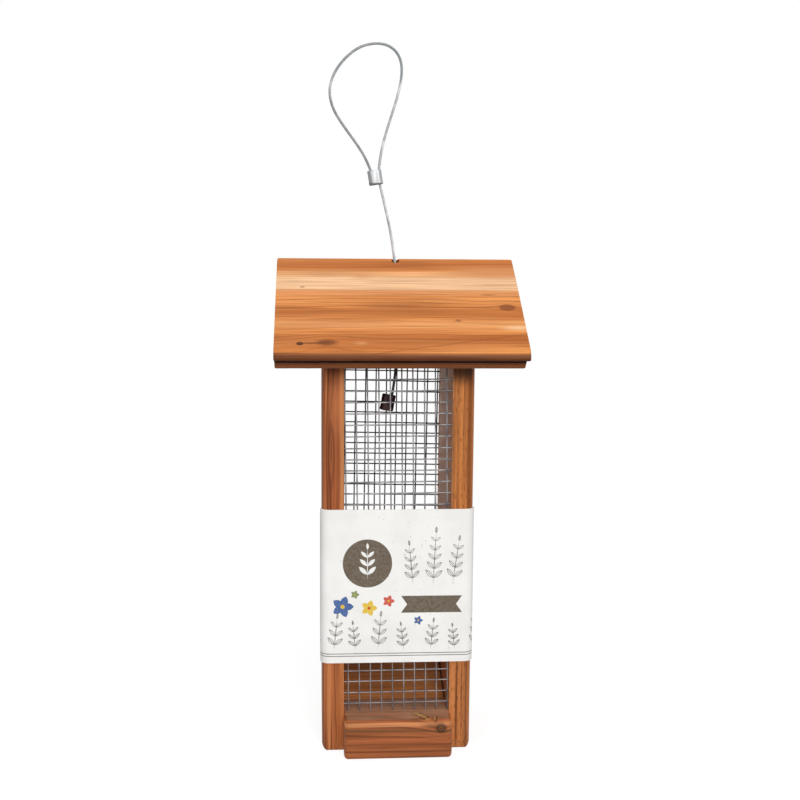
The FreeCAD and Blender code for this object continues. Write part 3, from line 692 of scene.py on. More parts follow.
@dataclass(frozen=True)
class PrintedCard:
    """White card with a plain print of sprigs and flowers, and in front a disc and a bare ribbon."""

    name: str = "printed_card"
    paper: Colour = (253, 252, 249)
    shade: Colour = (247, 245, 241)
    taupe: Colour = (94, 78, 57)
    line: Colour = (92, 90, 86)
    red: Colour = (210, 72, 46)
    yellow: Colour = (234, 196, 56)
    blue: Colour = (52, 92, 156)
    green: Colour = (128, 142, 88)
    repeat: float = 81.0
    edge: float = 0.16
    outline: float = 0.3
    disc_place: tuple[float, float] = (-17.0, 58.0)
    disc_radius: float = 14.0
    ribbon: tuple[float, float, float, float] = (2.0, 37.0, 29.0, 39.0)
    fork: float = 3.5
    rules: tuple[float, ...] = (4.0, 5.4)
    # A sprig's bare foot and its leafy part as shares of its height, and how its leaves shrink and turn
    bare_foot: float = 0.2
    leafy: float = 0.74
    shrink: float = 0.11
    leaf_turn: float = 0.8
    # Noise cells per metre of the paper's tone, flecks, worn ink and tooth
    mottle: float = 60.0
    flecks: float = 620.0
    wear: float = 900.0
    tooth: float = 1500.0
    emblem: Sprig = Sprig(-17.0, 47.5, 20.0, 0.0, 3, 6.8)
    front_sprigs: tuple[Sprig, ...] = (
        Sprig(9.0, 44.0, 26.0, -0.1, 4, 6.0),
        Sprig(20.0, 42.0, 36.0, 0.05, 5, 6.8),
        Sprig(31.0, 44.0, 29.0, 0.14, 4, 6.4),
    )
    sprigs: tuple[Sprig, ...] = (
        Sprig(-36.0, 6.5, 21.0, 0.1, 3, 6.2),
        Sprig(-23.5, 6.5, 17.0, -0.1, 3, 5.2),
        Sprig(-11.0, 6.5, 22.0, 0.08, 3, 6.4),
        Sprig(4.0, 6.5, 16.0, -0.12, 3, 5.0),
        Sprig(19.0, 6.5, 18.0, 0.1, 3, 5.6),
        Sprig(33.0, 6.5, 15.0, -0.1, 3, 4.8),
    )

    def leaf(
        self, graph: Graph, along: object, side: object, reach: float, width: float
    ) -> tuple[Socket, Socket]:
        """Returns how much of a leaf, and how much of its outline, covers a spot.

        Args:
            graph: the material's nodes.
            along: distance from the leaf's foot along it.
            side: distance from its middle line.
            reach: the leaf's length.
            width: half its width.

        Returns:
            The two covers.
        """
        share = graph.math("DIVIDE", along, reach)
        swell = graph.math("MULTIPLY", share, graph.math("SUBTRACT", 1.0, share))
        off = graph.math("ABSOLUTE", side)
        room = graph.math("SUBTRACT", graph.math("MULTIPLY", swell, 4.0 * width), off)
        cover = graph.math("DIVIDE", room, self.edge, clamp=True)
        inner = graph.math("DIVIDE", graph.math("SUBTRACT", room, self.outline), self.edge, clamp=True)
        hollow = graph.math("MULTIPLY", inner, graph.smooth(off, 0.1, 0.24))
        return cover, graph.math("SUBTRACT", cover, hollow)

    def turned(self, graph: Graph, u: Socket, v: Socket, angle: float) -> Spot:
        """Returns the distances along and across a line that leans from upright by an angle."""
        sine, cosine = math.sin(angle), math.cos(angle)
        along = graph.math("MULTIPLY_ADD", u, sine, graph.math("MULTIPLY", v, cosine))
        across = graph.math("MULTIPLY_ADD", u, cosine, graph.math("MULTIPLY", v, -sine))
        return along, across

    def sprig(self, graph: Graph, spot: Spot, sprig: Sprig, outlined: bool) -> Socket:
        """Returns how much of a sprig covers a spot.

        Args:
            graph: the material's nodes.
            spot: the place on the sleeve.
            sprig: what is printed.
            outlined: whether only the leaves' outlines are printed.

        Returns:
            The cover.
        """
        off_u = graph.math("SUBTRACT", spot[0], sprig.u)
        off_v = graph.math("SUBTRACT", spot[1], sprig.v)
        along, side = self.turned(graph, off_u, off_v, sprig.lean)
        side = graph.math("ABSOLUTE", side)
        first = sprig.tall * self.bare_foot
        step = sprig.tall * self.leafy / sprig.pairs
        turns = graph.math("DIVIDE", graph.math("SUBTRACT", along, first), step)
        pair = graph.math("FLOOR", turns)
        small = graph.math("MULTIPLY_ADD", pair, -self.shrink, 1.0)
        past = graph.math("MULTIPLY", graph.math("SUBTRACT", turns, pair), step)
        local = graph.math("DIVIDE", past, small)
        out = graph.math("DIVIDE", side, small)
        leaf_along, leaf_side = self.turned(graph, out, local, self.leaf_turn)
        covers = self.leaf(graph, leaf_along, leaf_side, sprig.leaf, sprig.leaf * 0.19)
        above = graph.math("GREATER_THAN", turns, 0.0)
        within = graph.math("MULTIPLY", above, graph.math("LESS_THAN", turns, float(sprig.pairs)))
        leaves = graph.math("MULTIPLY", covers[outlined], within)
        stem = self.leaf(graph, along, side, sprig.tall * 1.02, 0.3)[0]
        tip = graph.math("SUBTRACT", along, sprig.tall * 0.92)
        bud = self.leaf(graph, tip, side, sprig.leaf * 0.6, sprig.leaf * 0.12)[outlined]
        return graph.math("MAXIMUM", graph.math("MAXIMUM", leaves, stem), bud)

    def flower(self, graph: Graph, spot: Spot, u: float, v: float, size: float) -> Socket:
        """Returns how much of a five-petalled flower covers a spot."""
        off_u = graph.math("SUBTRACT", spot[0], u)
        off_v = graph.math("SUBTRACT", spot[1], v)
        square = graph.math("MULTIPLY_ADD", off_u, off_u, graph.math("MULTIPLY", off_v, off_v))
        away = graph.math("SQRT", square)
        turn = graph.math("WRAP", graph.math("ARCTAN2", off_v, off_u), math.pi / 5, -math.pi / 5)
        along = graph.math("MULTIPLY", away, graph.math("COSINE", turn))
        side = graph.math("MULTIPLY", away, graph.math("SINE", turn))
        return self.leaf(graph, along, side, size, size * 0.34)[0]

    def disc(self, graph: Graph, spot: Spot, u: float, v: float, radius: float) -> Socket:
        """Returns how much of a disc covers a spot."""
        away_u = graph.math("POWER", graph.math("SUBTRACT", spot[0], u), 2.0)
        away_v = graph.math("POWER", graph.math("SUBTRACT", spot[1], v), 2.0)
        away = graph.math("SQRT", graph.math("ADD", away_u, away_v))
        return graph.math("DIVIDE", graph.math("SUBTRACT", radius, away), self.edge, clamp=True)

    def banner(self, graph: Graph, spot: Spot) -> Socket:
        """Returns how much of the ribbon, with its forked ends, covers a spot."""
        left, right, low, high = self.ribbon
        middle_v, half_v = (low + high) / 2, (high - low) / 2
        off_v = graph.math("ABSOLUTE", graph.math("SUBTRACT", spot[1], middle_v))
        half_u = graph.math("MULTIPLY_ADD", off_v, self.fork / half_v, (right - left) / 2 - self.fork)
        off_u = graph.math("ABSOLUTE", graph.math("SUBTRACT", spot[0], (left + right) / 2))
        room_v = graph.math("SUBTRACT", half_v, off_v)
        room = graph.math("MINIMUM", room_v, graph.math("SUBTRACT", half_u, off_u))
        return graph.math("DIVIDE", room, self.edge, clamp=True)

    def material(self) -> bpy.types.Material:
        """Builds the card and its print."""
        graph = Graph(bpy.data.materials.new(self.name))
        uv = graph.add("ShaderNodeSeparateXYZ")
        graph.feed(uv.inputs[0], graph.add("ShaderNodeTexCoord").outputs["UV"])
        wrap = graph.math("WRAP", uv.outputs["X"], self.repeat / 2, -self.repeat / 2)
        spot = (wrap, uv.outputs["Y"])
        front = (uv.outputs["X"], uv.outputs["Y"])
        place = graph.add("ShaderNodeTexCoord").outputs["Object"]
        mottle = graph.smooth(graph.noise(place, self.mottle), 0.35, 0.7)
        colour = graph.mix(mottle, linear(self.paper), linear(self.shade))
        fleck = graph.smooth(graph.noise(place, self.flecks, 1.0), 0.72, 0.78)
        colour = graph.mix(graph.math("MULTIPLY", fleck, 0.25), colour, linear(self.line))
        for cover, ink in self.inks(graph, spot, front):
            worn = graph.math("MULTIPLY_ADD", graph.noise(place, self.wear, 2.0), 0.2, 0.84, clamp=True)
            colour = graph.mix(graph.math("MULTIPLY", cover, worn), colour, linear(ink))
        grit = graph.noise(place, self.tooth, 2.0)
        return graph.finish(
            Base_Color=colour,
            Roughness=graph.math("MULTIPLY_ADD", grit, 0.2, 0.6),
            Normal=graph.bump(grit, 0.06 * MM, 0.2),
            Specular_IOR_Level=0.3,
        )

    def inks(self, graph: Graph, spot: Spot, front: Spot) -> list[tuple[object, Colour]]:
        """Lists the inks of the print.

        Args:
            graph: the material's nodes.
            spot: the place in the part of the print that is repeated round the sleeve.
            front: the place on the whole sleeve, for what is printed once.

        Returns:
            The covers and their colours, in the order they are laid down.
        """
        drawn: object = 0.0
        for where, sprigs in ((spot, self.sprigs), (front, self.front_sprigs)):
            for sprig in sprigs:
                drawn = graph.math("MAXIMUM", drawn, self.sprig(graph, where, sprig, True))
        for height in self.rules:
            off = graph.math("ABSOLUTE", graph.math("SUBTRACT", spot[1], height))
            drawn = graph.math("MAXIMUM", drawn, graph.smooth(off, 0.3, 0.15))
        u, v = self.disc_place
        layers = [
            (drawn, self.line),
            (self.disc(graph, front, u, v, self.disc_radius), self.taupe),
            (self.sprig(graph, front, self.emblem, False), self.paper),
            (self.banner(graph, front), self.taupe),
        ]
        for flower_u, flower_v, size, ink, heart in (
            (-31.0, 33.0, 6.4, self.blue, self.yellow),
            (-16.0, 32.0, 4.8, self.yellow, self.red),
            (-5.0, 36.0, 3.6, self.red, self.yellow),
            (-24.0, 40.0, 2.6, self.green, self.yellow),
            (12.0, 24.5, 2.8, self.blue, self.yellow),
        ):
            layers.append((self.flower(graph, spot, flower_u, flower_v, size), ink))
            layers.append((self.disc(graph, spot, flower_u, flower_v, size * 0.2), heart))
        return layers


def mesh_from(name: str, shape: bmesh.types.BMesh, sharp: float = 40.0) -> bpy.types.Mesh:
    """Turns a bmesh into a smooth-shaded mesh.

    Args:
        name: the mesh's name.
        shape: the bmesh, which is freed.
        sharp: edges that turn by more degrees than this stay sharp.

    Returns:
        The mesh.
    """
    bmesh.ops.recalc_face_normals(shape, faces=shape.faces)
    mesh = bpy.data.meshes.new(name)
    shape.to_mesh(mesh)
    shape.free()
    for polygon in mesh.polygons:
        polygon.use_smooth = True
    mesh.set_sharp_from_angle(angle=math.radians(sharp))
    return mesh


def add_piece(
    mesh: bpy.types.Mesh, material: bpy.types.Material, body: str, slot: str, *nodes: str
) -> bpy.types.Object:
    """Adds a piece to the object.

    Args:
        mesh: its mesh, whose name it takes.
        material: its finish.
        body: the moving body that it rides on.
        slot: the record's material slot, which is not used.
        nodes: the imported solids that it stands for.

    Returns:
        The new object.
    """
    piece = bpy.data.objects.new(mesh.name, mesh)
    bpy.context.scene.collection.objects.link(piece)
    mesh.materials.append(material)
    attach(piece, body)
    if nodes:
        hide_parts(*nodes)
    LOG.info("%s: %d faces on %s", piece.name, len(mesh.polygons), body)
    return piece


def dress(node: str, material: bpy.types.Material) -> None:
    """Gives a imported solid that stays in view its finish."""
    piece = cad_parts[node]
    if not piece.material_slots:
        piece.data.materials.append(material)
    for holder in piece.material_slots:
        holder.material = material
    LOG.info("%s: dressed in %s", node, material.name)


def cut_away(mesh: bpy.types.Mesh, tool: bpy.types.Mesh) -> bpy.types.Mesh:
    """Cuts one closed mesh out of another and returns the result under the first one's name."""
    scene = bpy.context.scene.collection
    holders = [bpy.data.objects.new(f"{item.name}_holder", item) for item in (mesh, tool)]
    for holder in holders:
        scene.objects.link(holder)
    modifier = holders[0].modifiers.new("cut", "BOOLEAN")
    modifier.operation = "DIFFERENCE"
    modifier.solver = "EXACT"
    modifier.object = holders[1]
    view = bpy.context.evaluated_depsgraph_get()
    result = bpy.data.meshes.new_from_object(holders[0].evaluated_get(view))
    for holder in holders:
        bpy.data.objects.remove(holder)
    name = mesh.name
    bpy.data.meshes.remove(mesh)
    bpy.data.meshes.remove(tool)
    result.name = name
    return result


def box_corners(node: str) -> tuple[Vector, Vector]:
    """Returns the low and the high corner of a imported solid's box."""
    low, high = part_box(node)
    return Vector(low), Vector(high)


def join_rings(shape: bmesh.types.BMesh, rings: list[Ring]) -> None:
    """Joins each ring of vertices to the next one with four-cornered faces."""
    for first, second in zip(rings, rings[1:]):
        for index in range(len(first)):
            following = (index + 1) % len(first)
            shape.faces.new((first[index], first[following], second[following], second[index]))


def close_rings(shape: bmesh.types.BMesh, rings: list[Ring]) -> list[bmesh.types.BMFace]:
    """Joins rings of vertices, closes the first and the last one, and returns these two faces."""
    join_rings(shape, rings)
    return [shape.faces.new(rings[0][::-1]), shape.faces.new(rings[-1])]


def tube(shape: bmesh.types.BMesh, points: list[Vector], radii: list[float], sides: int) -> None:
    """Adds a closed tube along points to a bmesh.

    Args:
        shape: the bmesh to add to.
        points: the tube's middle line.
        radii: its radius at each point.
        sides: corners of its section.
    """
    rings = []
    last = len(points) - 1
    ahead = (points[1] - points[0]).normalized()
    side = ahead.orthogonal().normalized()
    for index, point in enumerate(points):
        ahead = (points[min(index + 1, last)] - points[max(index - 1, 0)]).normalized()
        side = (side - ahead * side.dot(ahead)).normalized()
        other = ahead.cross(side)
        ring = []
        for corner in range(sides):
            turn = 2 * math.pi * corner / sides
            outward = side * math.cos(turn) + other * math.sin(turn)
            ring.append(shape.verts.new(point + outward * radii[index]))
        rings.append(ring)
    close_rings(shape, rings)


def arc(
    middle: tuple[float, float], radius: float, start: float, end: float, steps: int, stretch: float = 1.0
) -> list[tuple[float, float]]:
    """Returns points of an arc.

    Args:
        middle: the arc's middle.
        radius: its radius.
        start: first angle in degrees.
        end: last angle in degrees.
        steps: pieces that the arc is divided into.
        stretch: how much longer the arc is along its first axis.

    Returns:
        The points.
    """
    points = []
    for index in range(steps + 1):
        turn = math.radians(start + (end - start) * index / steps)
        points.append((middle[0] + radius * stretch * math.cos(turn), middle[1] + radius * math.sin(turn)))
    return points


def prism(section: list[tuple[float, float]], stations: list[float]) -> bmesh.types.BMesh:
    """Returns a closed bar along X.

    Args:
        section: corners of its section as Y and Z.
        stations: values of X that the section is repeated at.

    Returns:
        The bar, whose last two faces are its ends.
    """
    shape = bmesh.new()
    close_rings(shape, [[shape.verts.new((x, y, z)) for y, z in section] for x in stations])
    return shape


@dataclass
class Woodwork:
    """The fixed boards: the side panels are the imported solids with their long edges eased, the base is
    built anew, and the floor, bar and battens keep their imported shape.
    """

    sharp: float = math.radians(50)
    long: float = 8.0 * MM
    ease: float = 0.6 * MM
    foot: float = 1.8 * MM
    crest: float = 4.2 * MM
    toe: float = 2.0 * MM
    corner: float = 2.2 * MM
    panel_front: float = -39.1 * MM
    widen: float = 1.012
    set_over: float = 0.35 * MM
    worn: float = 0.25 * MM
    wear_cells: tuple[float, float, float] = (14.0 * MM, 6.0 * MM, 9.0 * MM)
    same: float = 0.002 * MM
    flat: float = math.radians(0.3)
    spare: float = 1.0 * MM
    top_steps: int = 12
    length_steps: int = 40
    corner_shares: tuple[float, ...] = (0.0, 0.08, 0.25, 0.55, 1.0)

    def eased(self, node: str, name: str, ease: float) -> bpy.types.Mesh:
        """Copies a solid's mesh and rounds its long sharp edges by that much."""
        shape = bmesh.new()
        shape.from_mesh(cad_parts[node].data)
        bmesh.ops.remove_doubles(shape, verts=shape.verts, dist=self.same)
        bmesh.ops.dissolve_limit(shape, angle_limit=self.flat, verts=shape.verts, edges=shape.edges)
        edges = [
            edge
            for edge in shape.edges
            if edge.is_manifold and edge.calc_length() > self.long and edge.calc_face_angle() > self.sharp
        ]
        bmesh.ops.bevel(
            shape, geom=edges, offset=ease, segments=3, profile=0.5, affect="EDGES", clamp_overlap=True
        )
        return mesh_from(name, shape, 35.0)

    def footed(self, mesh: bpy.types.Mesh, node: str) -> bpy.types.Mesh:
        """Rounds the lower front and back edges of a panel."""
        low, high = box_corners(node)
        spare, foot = self.spare, self.foot
        for face, y in ((-1, low.y), (1, high.y)):
            bend = arc((0.0, foot), foot, 0, -90, 6)
            section = [(y + face * spare, -spare), (y + face * spare, foot)]
            section += [(y + face * (across - foot), z) for across, z in bend]
            section.append((y - face * foot, -spare))
            tool = prism(section, [low.x - spare, high.x + spare])
            mesh = cut_away(mesh, mesh_from(f"{node}_foot", tool))
        mesh.set_sharp_from_angle(angle=math.radians(35))
        return mesh

    def ledge(self, name: str) -> bpy.types.Mesh:
        """Builds the base board, whose front ledge is worn round and set a little to the right."""
        low, high = box_corners("base_board")
        section = [(high.y, low.z), (high.y, high.z)]
        run = low.y + self.crest - high.y
        section += [(high.y + run * step / self.top_steps, high.z) for step in range(1, self.top_steps)]
        section += arc((low.y + self.crest, high.z - self.crest), self.crest, 90, 180, 7)
        section += arc((low.y + self.toe, low.z + self.toe), self.toe, 180, 270, 5)
        count = self.length_steps
        near = [self.corner * share for share in self.corner_shares]
        straight = high.x - low.x - 2 * self.corner
        inner = [low.x + self.corner + straight * step / count for step in range(1, count)]
        stations = [low.x + step for step in near] + inner + [high.x - step for step in reversed(near)]
        shape = prism(section, stations)
        middle = (low.z + high.z) / 2
        for vertex in shape.verts:
            spot = vertex.co
            if spot.y > self.panel_front:
                continue
            short = max(0.0, self.corner - min(spot.x - low.x, high.x - spot.x))
            inset = self.corner - math.sqrt(self.corner**2 - short**2)
            sway = noise.noise(Vector([place / cell for place, cell in zip(spot, self.wear_cells)]))
            reach = (self.panel_front - spot.y) / (self.panel_front - low.y)
            spot.y += inset * reach
            spot.z += math.copysign(inset * min(1.0, reach * 3), middle - spot.z)
            if spot.z > middle:
                spot.z -= self.worn * abs(sway)
            spot.x = spot.x * self.widen + self.set_over
        return mesh_from(name, shape, 40.0)

    def build(self) -> None:
        """Adds the side panels and base, and dresses the floor, hanger bar and battens."""
        for node, name, finish in (
            ("left_side_panel", "left_panel_board", CEDAR_LEFT),
            ("right_side_panel", "right_panel_board", CEDAR_RIGHT),
        ):
            board = self.footed(self.eased(node, name, self.ease), node)
            add_piece(board, finish.material(), "frame", "cedar", node)
        add_piece(self.ledge("base_ledge_board"), CEDAR_BASE.material(), "frame", "cedar", "base_board")
        inside = CEDAR_INSIDE.material()
        for node in ("sloping_floor", "hanger_bar", "roof_front_batten", "roof_back_batten"):
            dress(node, inside)


@dataclass
class RoofBoards:
    """The two roof boards with their grooved eaves, a little uneven along their length."""

    steps: int = 90
    arc_steps: int = 5
    uneven: float = 0.05 * MM
    rough_nose: float = 0.28 * MM
    end_ease: float = 1.0 * MM
    lip_short: tuple[float, float] = (0.5 * MM, 2.2 * MM)
    nose_reach: float = 7.0 * MM
    ripple: tuple[float, float, float] = (9.0 * MM, 20.0 * MM, 6.0 * MM)
    drill_reach: float = 20.0 * MM
    drill_sides: int = 32

    def outline(self) -> list[tuple[float, float]]:
        """Returns the section as distances down the slope and below its surface."""
        width, nose, lip_round = ROOF.width, ROOF.nose_round, ROOF.lip_round
        low = ROOF.lip + ROOF.groove
        inner = width - ROOF.groove_depth
        back = width - ROOF.setback
        points = [(0.0, 0.0), (width * 0.25, 0.0), (width * 0.5, 0.0), (width * 0.75, 0.0)]
        stretch = ROOF.nose_stretch
        points += arc((width - nose * stretch, nose), nose, -90, 0, self.arc_steps, stretch)
        points += arc((width - lip_round, ROOF.lip - lip_round), lip_round, 0, 90, 3)
        points += [(inner, ROOF.lip), (inner, low)]
        points += arc((back - lip_round, low + lip_round), lip_round, -90, 0, 3)
        under = ROOF.under_round
        points += arc((back - under, ROOF.thick - under), under, 0, 90, self.arc_steps)
        points += [(width * 0.5, ROOF.thick), (ROOF.thick * math.tan(ROOF.pitch), ROOF.thick)]
        return points

    def drawn_in(self, share: float) -> float:
        """Returns how far the lower lip is drawn in at a share of the half length."""
        return math.copysign(self.lip_short[share > 0] * abs(share) ** 8, share)

    def board(self, name: str, face: int) -> bpy.types.Mesh:
        """Builds one board and drills the cable hole in its ridge."""
        low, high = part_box("roof_front_board")
        outline = self.outline()
        shape = bmesh.new()
        rings = []
        for step in range(self.steps + 1):
            x = low[0] + (high[0] - low[0]) * step / self.steps
            ring = []
            for along, below in outline:
                near = max(0.0, 1 - (ROOF.width - along) / self.nose_reach)
                cell_x, cell_along, cell_below = self.ripple
                cell = Vector((x / cell_x, along / cell_along, face * 3.0 + below / cell_below))
                sway = noise.noise(cell)
                depth = self.uneven + near * self.rough_nose
                worn = 0.0 if along < ROOF.thick else depth * (abs(sway) if near > 0 else sway)
                sunk = worn * (1 - near) * (below == 0)
                y, z = ROOF.spot(face, along - worn * near, below + sunk)
                in_lip = near > 0 and below > ROOF.lip + ROOF.groove / 2
                ring.append(shape.verts.new((x - self.drawn_in(x / high[0]) * in_lip, y, z)))
            rings.append(ring)
        edges = [edge for cap in close_rings(shape, rings) for edge in cap.edges]
        bmesh.ops.bevel(
            shape, geom=edges, offset=self.end_ease, segments=2, profile=0.5, affect="EDGES",
            clamp_overlap=True,
        )
        mesh = mesh_from(name, shape, 35.0)
        drill = bmesh.new()
        reach = Vector((0, 0, self.drill_reach))
        top = Vector((0, -ROOF.hole_front, ROOF.ridge))
        tube(drill, [top - reach, top + reach], [ROOF.hole / 2] * 2, self.drill_sides)
        drilled = cut_away(mesh, mesh_from(f"{name}_drill", drill))
        drilled.set_sharp_from_angle(angle=math.radians(35))
        return drilled

    def build(self) -> None:
        """Adds both boards."""
        boards = (
            ("roof_front_slope", -1, CEDAR_ROOF_FRONT, "roof_front_board"),
            ("roof_back_slope", 1, CEDAR_ROOF_BACK, "roof_back_board"),
        )
        for name, face, finish, node in boards:
            add_piece(self.board(name, face), finish.material(), "roof", "cedar", node)


@dataclass
class WireScreens:
    """The welded screens: round upright wires outside, level wires welded behind them."""

    wire: float = 0.8 * MM
    pitch_across: float = 6.35 * MM
    pitch_up: float = 6.47 * MM
    first_row: float = 4.4 * MM
    columns: int = 10
    sides: int = 8
    sway: float = 0.16 * MM
    weld: float = 1.14
    weld_half: float = 0.7 * MM
    sink: float = 0.06 * MM
    kink: tuple[float, float] = (5.0 * MM, 40.0 * MM)
    # How each screen sits in its grooves: set over and raised, and out of level and upright
    front_seat: tuple[float, float, float, float] = (1.25 * MM, 0.0, 0.007, -0.0143)
    back_seat: tuple[float, float, float, float] = (-1.25 * MM, -2.63 * MM, -0.019, 0.0105)

    def screen(self, name: str, node: str, face: int) -> bpy.types.Mesh:
        """Builds one screen.

        Args:
            name: the mesh's name.
            node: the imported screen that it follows.
            face: -1 for the front, 1 for the back.

        Returns:
            The mesh of all its wires.
        """
        draw = random.Random(17 + face)
        low, high = box_corners(node)
        middle = (low.y + high.y) / 2
        upright_y = middle + face * (self.wire / 2 - self.sink / 2)
        level_y = middle - face * (self.wire / 2 - self.sink / 2)
        set_over, raised, slope, lean = self.front_seat if face < 0 else self.back_seat
        first = (self.columns - 1) / 2
        across = [(index - first) * self.pitch_across + set_over for index in range(self.columns)]
        lowest = low.z + self.first_row + raised
        count = int((high.z - self.wire - lowest) / self.pitch_up) + 1
        up = [lowest + index * self.pitch_up for index in range(count)]
        short, long = self.kink
        shape = bmesh.new()
        for x in across:
            shift = draw.uniform(-self.sway, self.sway)
            heights = [low.z, *up, high.z]
            points = []
            for z in heights:
                bend = noise.noise(Vector((x / short, z / long, face * 2.0))) * self.sway
                points.append(Vector((x + shift + bend + (z - up[0]) * lean, upright_y, z)))
            tube(shape, points, [self.wire / 2] * len(points), self.sides)
        for z in up:
            shift = draw.uniform(-self.sway, self.sway)
            stops = [low.x]
            for x in across:
                crossing = x + (z - up[0]) * lean
                stops += [crossing - self.weld_half, crossing, crossing + self.weld_half]
            stops.append(high.x)
            points = []
            radii = []
            for index, x in enumerate(stops):
                bend = noise.noise(Vector((x / long, z / short, face * 5.0))) * self.sway
                points.append(Vector((x, level_y, z + shift + bend + x * slope)))
                welded = 0 < index < len(stops) - 1 and index % 3 == 2
                radii.append(self.wire / 2 * (self.weld if welded else 1.0))
            tube(shape, points, radii, self.sides)
        return mesh_from(name, shape, 60.0)

    def build(self) -> None:
        """Adds the front and back screens."""
        for name, node, face, finish in (
            ("front_screen", "front_mesh", -1, GALVANISED),
            ("back_screen", "back_mesh", 1, SHADED_WIRE),
        ):
            add_piece(self.screen(name, node, face), finish.material(), "frame", "mesh_wire", node)


@dataclass
class SideScrews:
    """Countersunk screws through the side panels, with a cross recess in each head."""

    head: float = 6.6 * MM
    shank: float = 3.5 * MM
    length: float = 30.0 * MM
    set_in: float = 0.15 * MM
    recess: float = 1.7 * MM
    arm: float = 1.9 * MM
    arm_half: float = 0.45 * MM
    taper: float = 0.7
    sides: int = 28

    def screw(self, shape: bmesh.types.BMesh, place: Matrix) -> None:
        """Adds one screw, whose head faces -Z of its own axes."""
        sink = (self.head - self.shank) / 2
        rim = []
        for index in range(self.sides):
            turn = 2 * math.pi * index / self.sides
            rim.append((math.cos(turn), math.sin(turn)))
        levels = ((self.set_in, self.head / 2), (sink, self.shank / 2), (self.length, self.shank / 2))
        rings = [
            [shape.verts.new(place @ Vector((u * radius, v * radius, depth))) for u, v in rim]
            for depth, radius in levels
        ]
        join_rings(shape, rings)
        shape.faces.new(rings[-1])
        arm, half = self.arm, self.arm_half
        cross = []
        for quarter in range(4):
            turn = Matrix.Rotation(quarter * math.pi / 2, 2)
            for u, v in ((arm, -half), (arm, half), (half, half)):
                cross.append(turn @ Vector((u, v)))
        top = [shape.verts.new(place @ Vector((u, v, self.set_in))) for u, v in cross]
        floor = [
            shape.verts.new(place @ Vector((u * self.taper, v * self.taper, self.recess)))
            for u, v in cross
        ]
        edges = []
        for ring in (rings[0], top):
            for index, vertex in enumerate(ring):
                pair = (vertex, ring[(index + 1) % len(ring)])
                edges.append(shape.edges.get(pair) or shape.edges.new(pair))
        bmesh.ops.triangle_fill(shape, use_beauty=True, use_dissolve=False, edges=edges)
        for face in [face for face in shape.faces if set(face.verts) <= set(top)]:
            shape.faces.remove(face)
        join_rings(shape, [top, floor])
        shape.faces.new(floor)

    def group(self, name: str, node: str, spots: list[tuple[float, float]]) -> bpy.types.Mesh:
        """Builds the screws of both panels at places given as Y and Z."""
        low, high = box_corners(node)
        draw = random.Random(node)
        shape = bmesh.new()
        for x, turn in ((low.x, math.pi / 2), (high.x, -math.pi / 2)):
            for y, z in spots:
                spin = Matrix.Rotation(draw.uniform(0, math.pi), 4, "Z")
                self.screw(shape, Matrix.Translation((x, y, z)) @ Matrix.Rotation(turn, 4, "Y") @ spin)
        return mesh_from(name, shape, 30.0)

    def build(self) -> None:
        """Adds the base and bar screws and dresses the smaller fasteners."""
        finish = ZINC.material()
        for name, node in (("base_fixing_screws", "base_screws"), ("bar_fixing_screws", "bar_screws")):
            low, high = box_corners(node)
            z = (low.z + high.z) / 2
            ends = sorted({round(low.y + self.head / 2, 5), round(high.y - self.head / 2, 5)})
            add_piece(self.group(name, node, [(y, z) for y in ends]), finish, "frame", "screw_steel", node)
        for node in ("floor_brads", "batten_screws"):
            dress(node, finish)


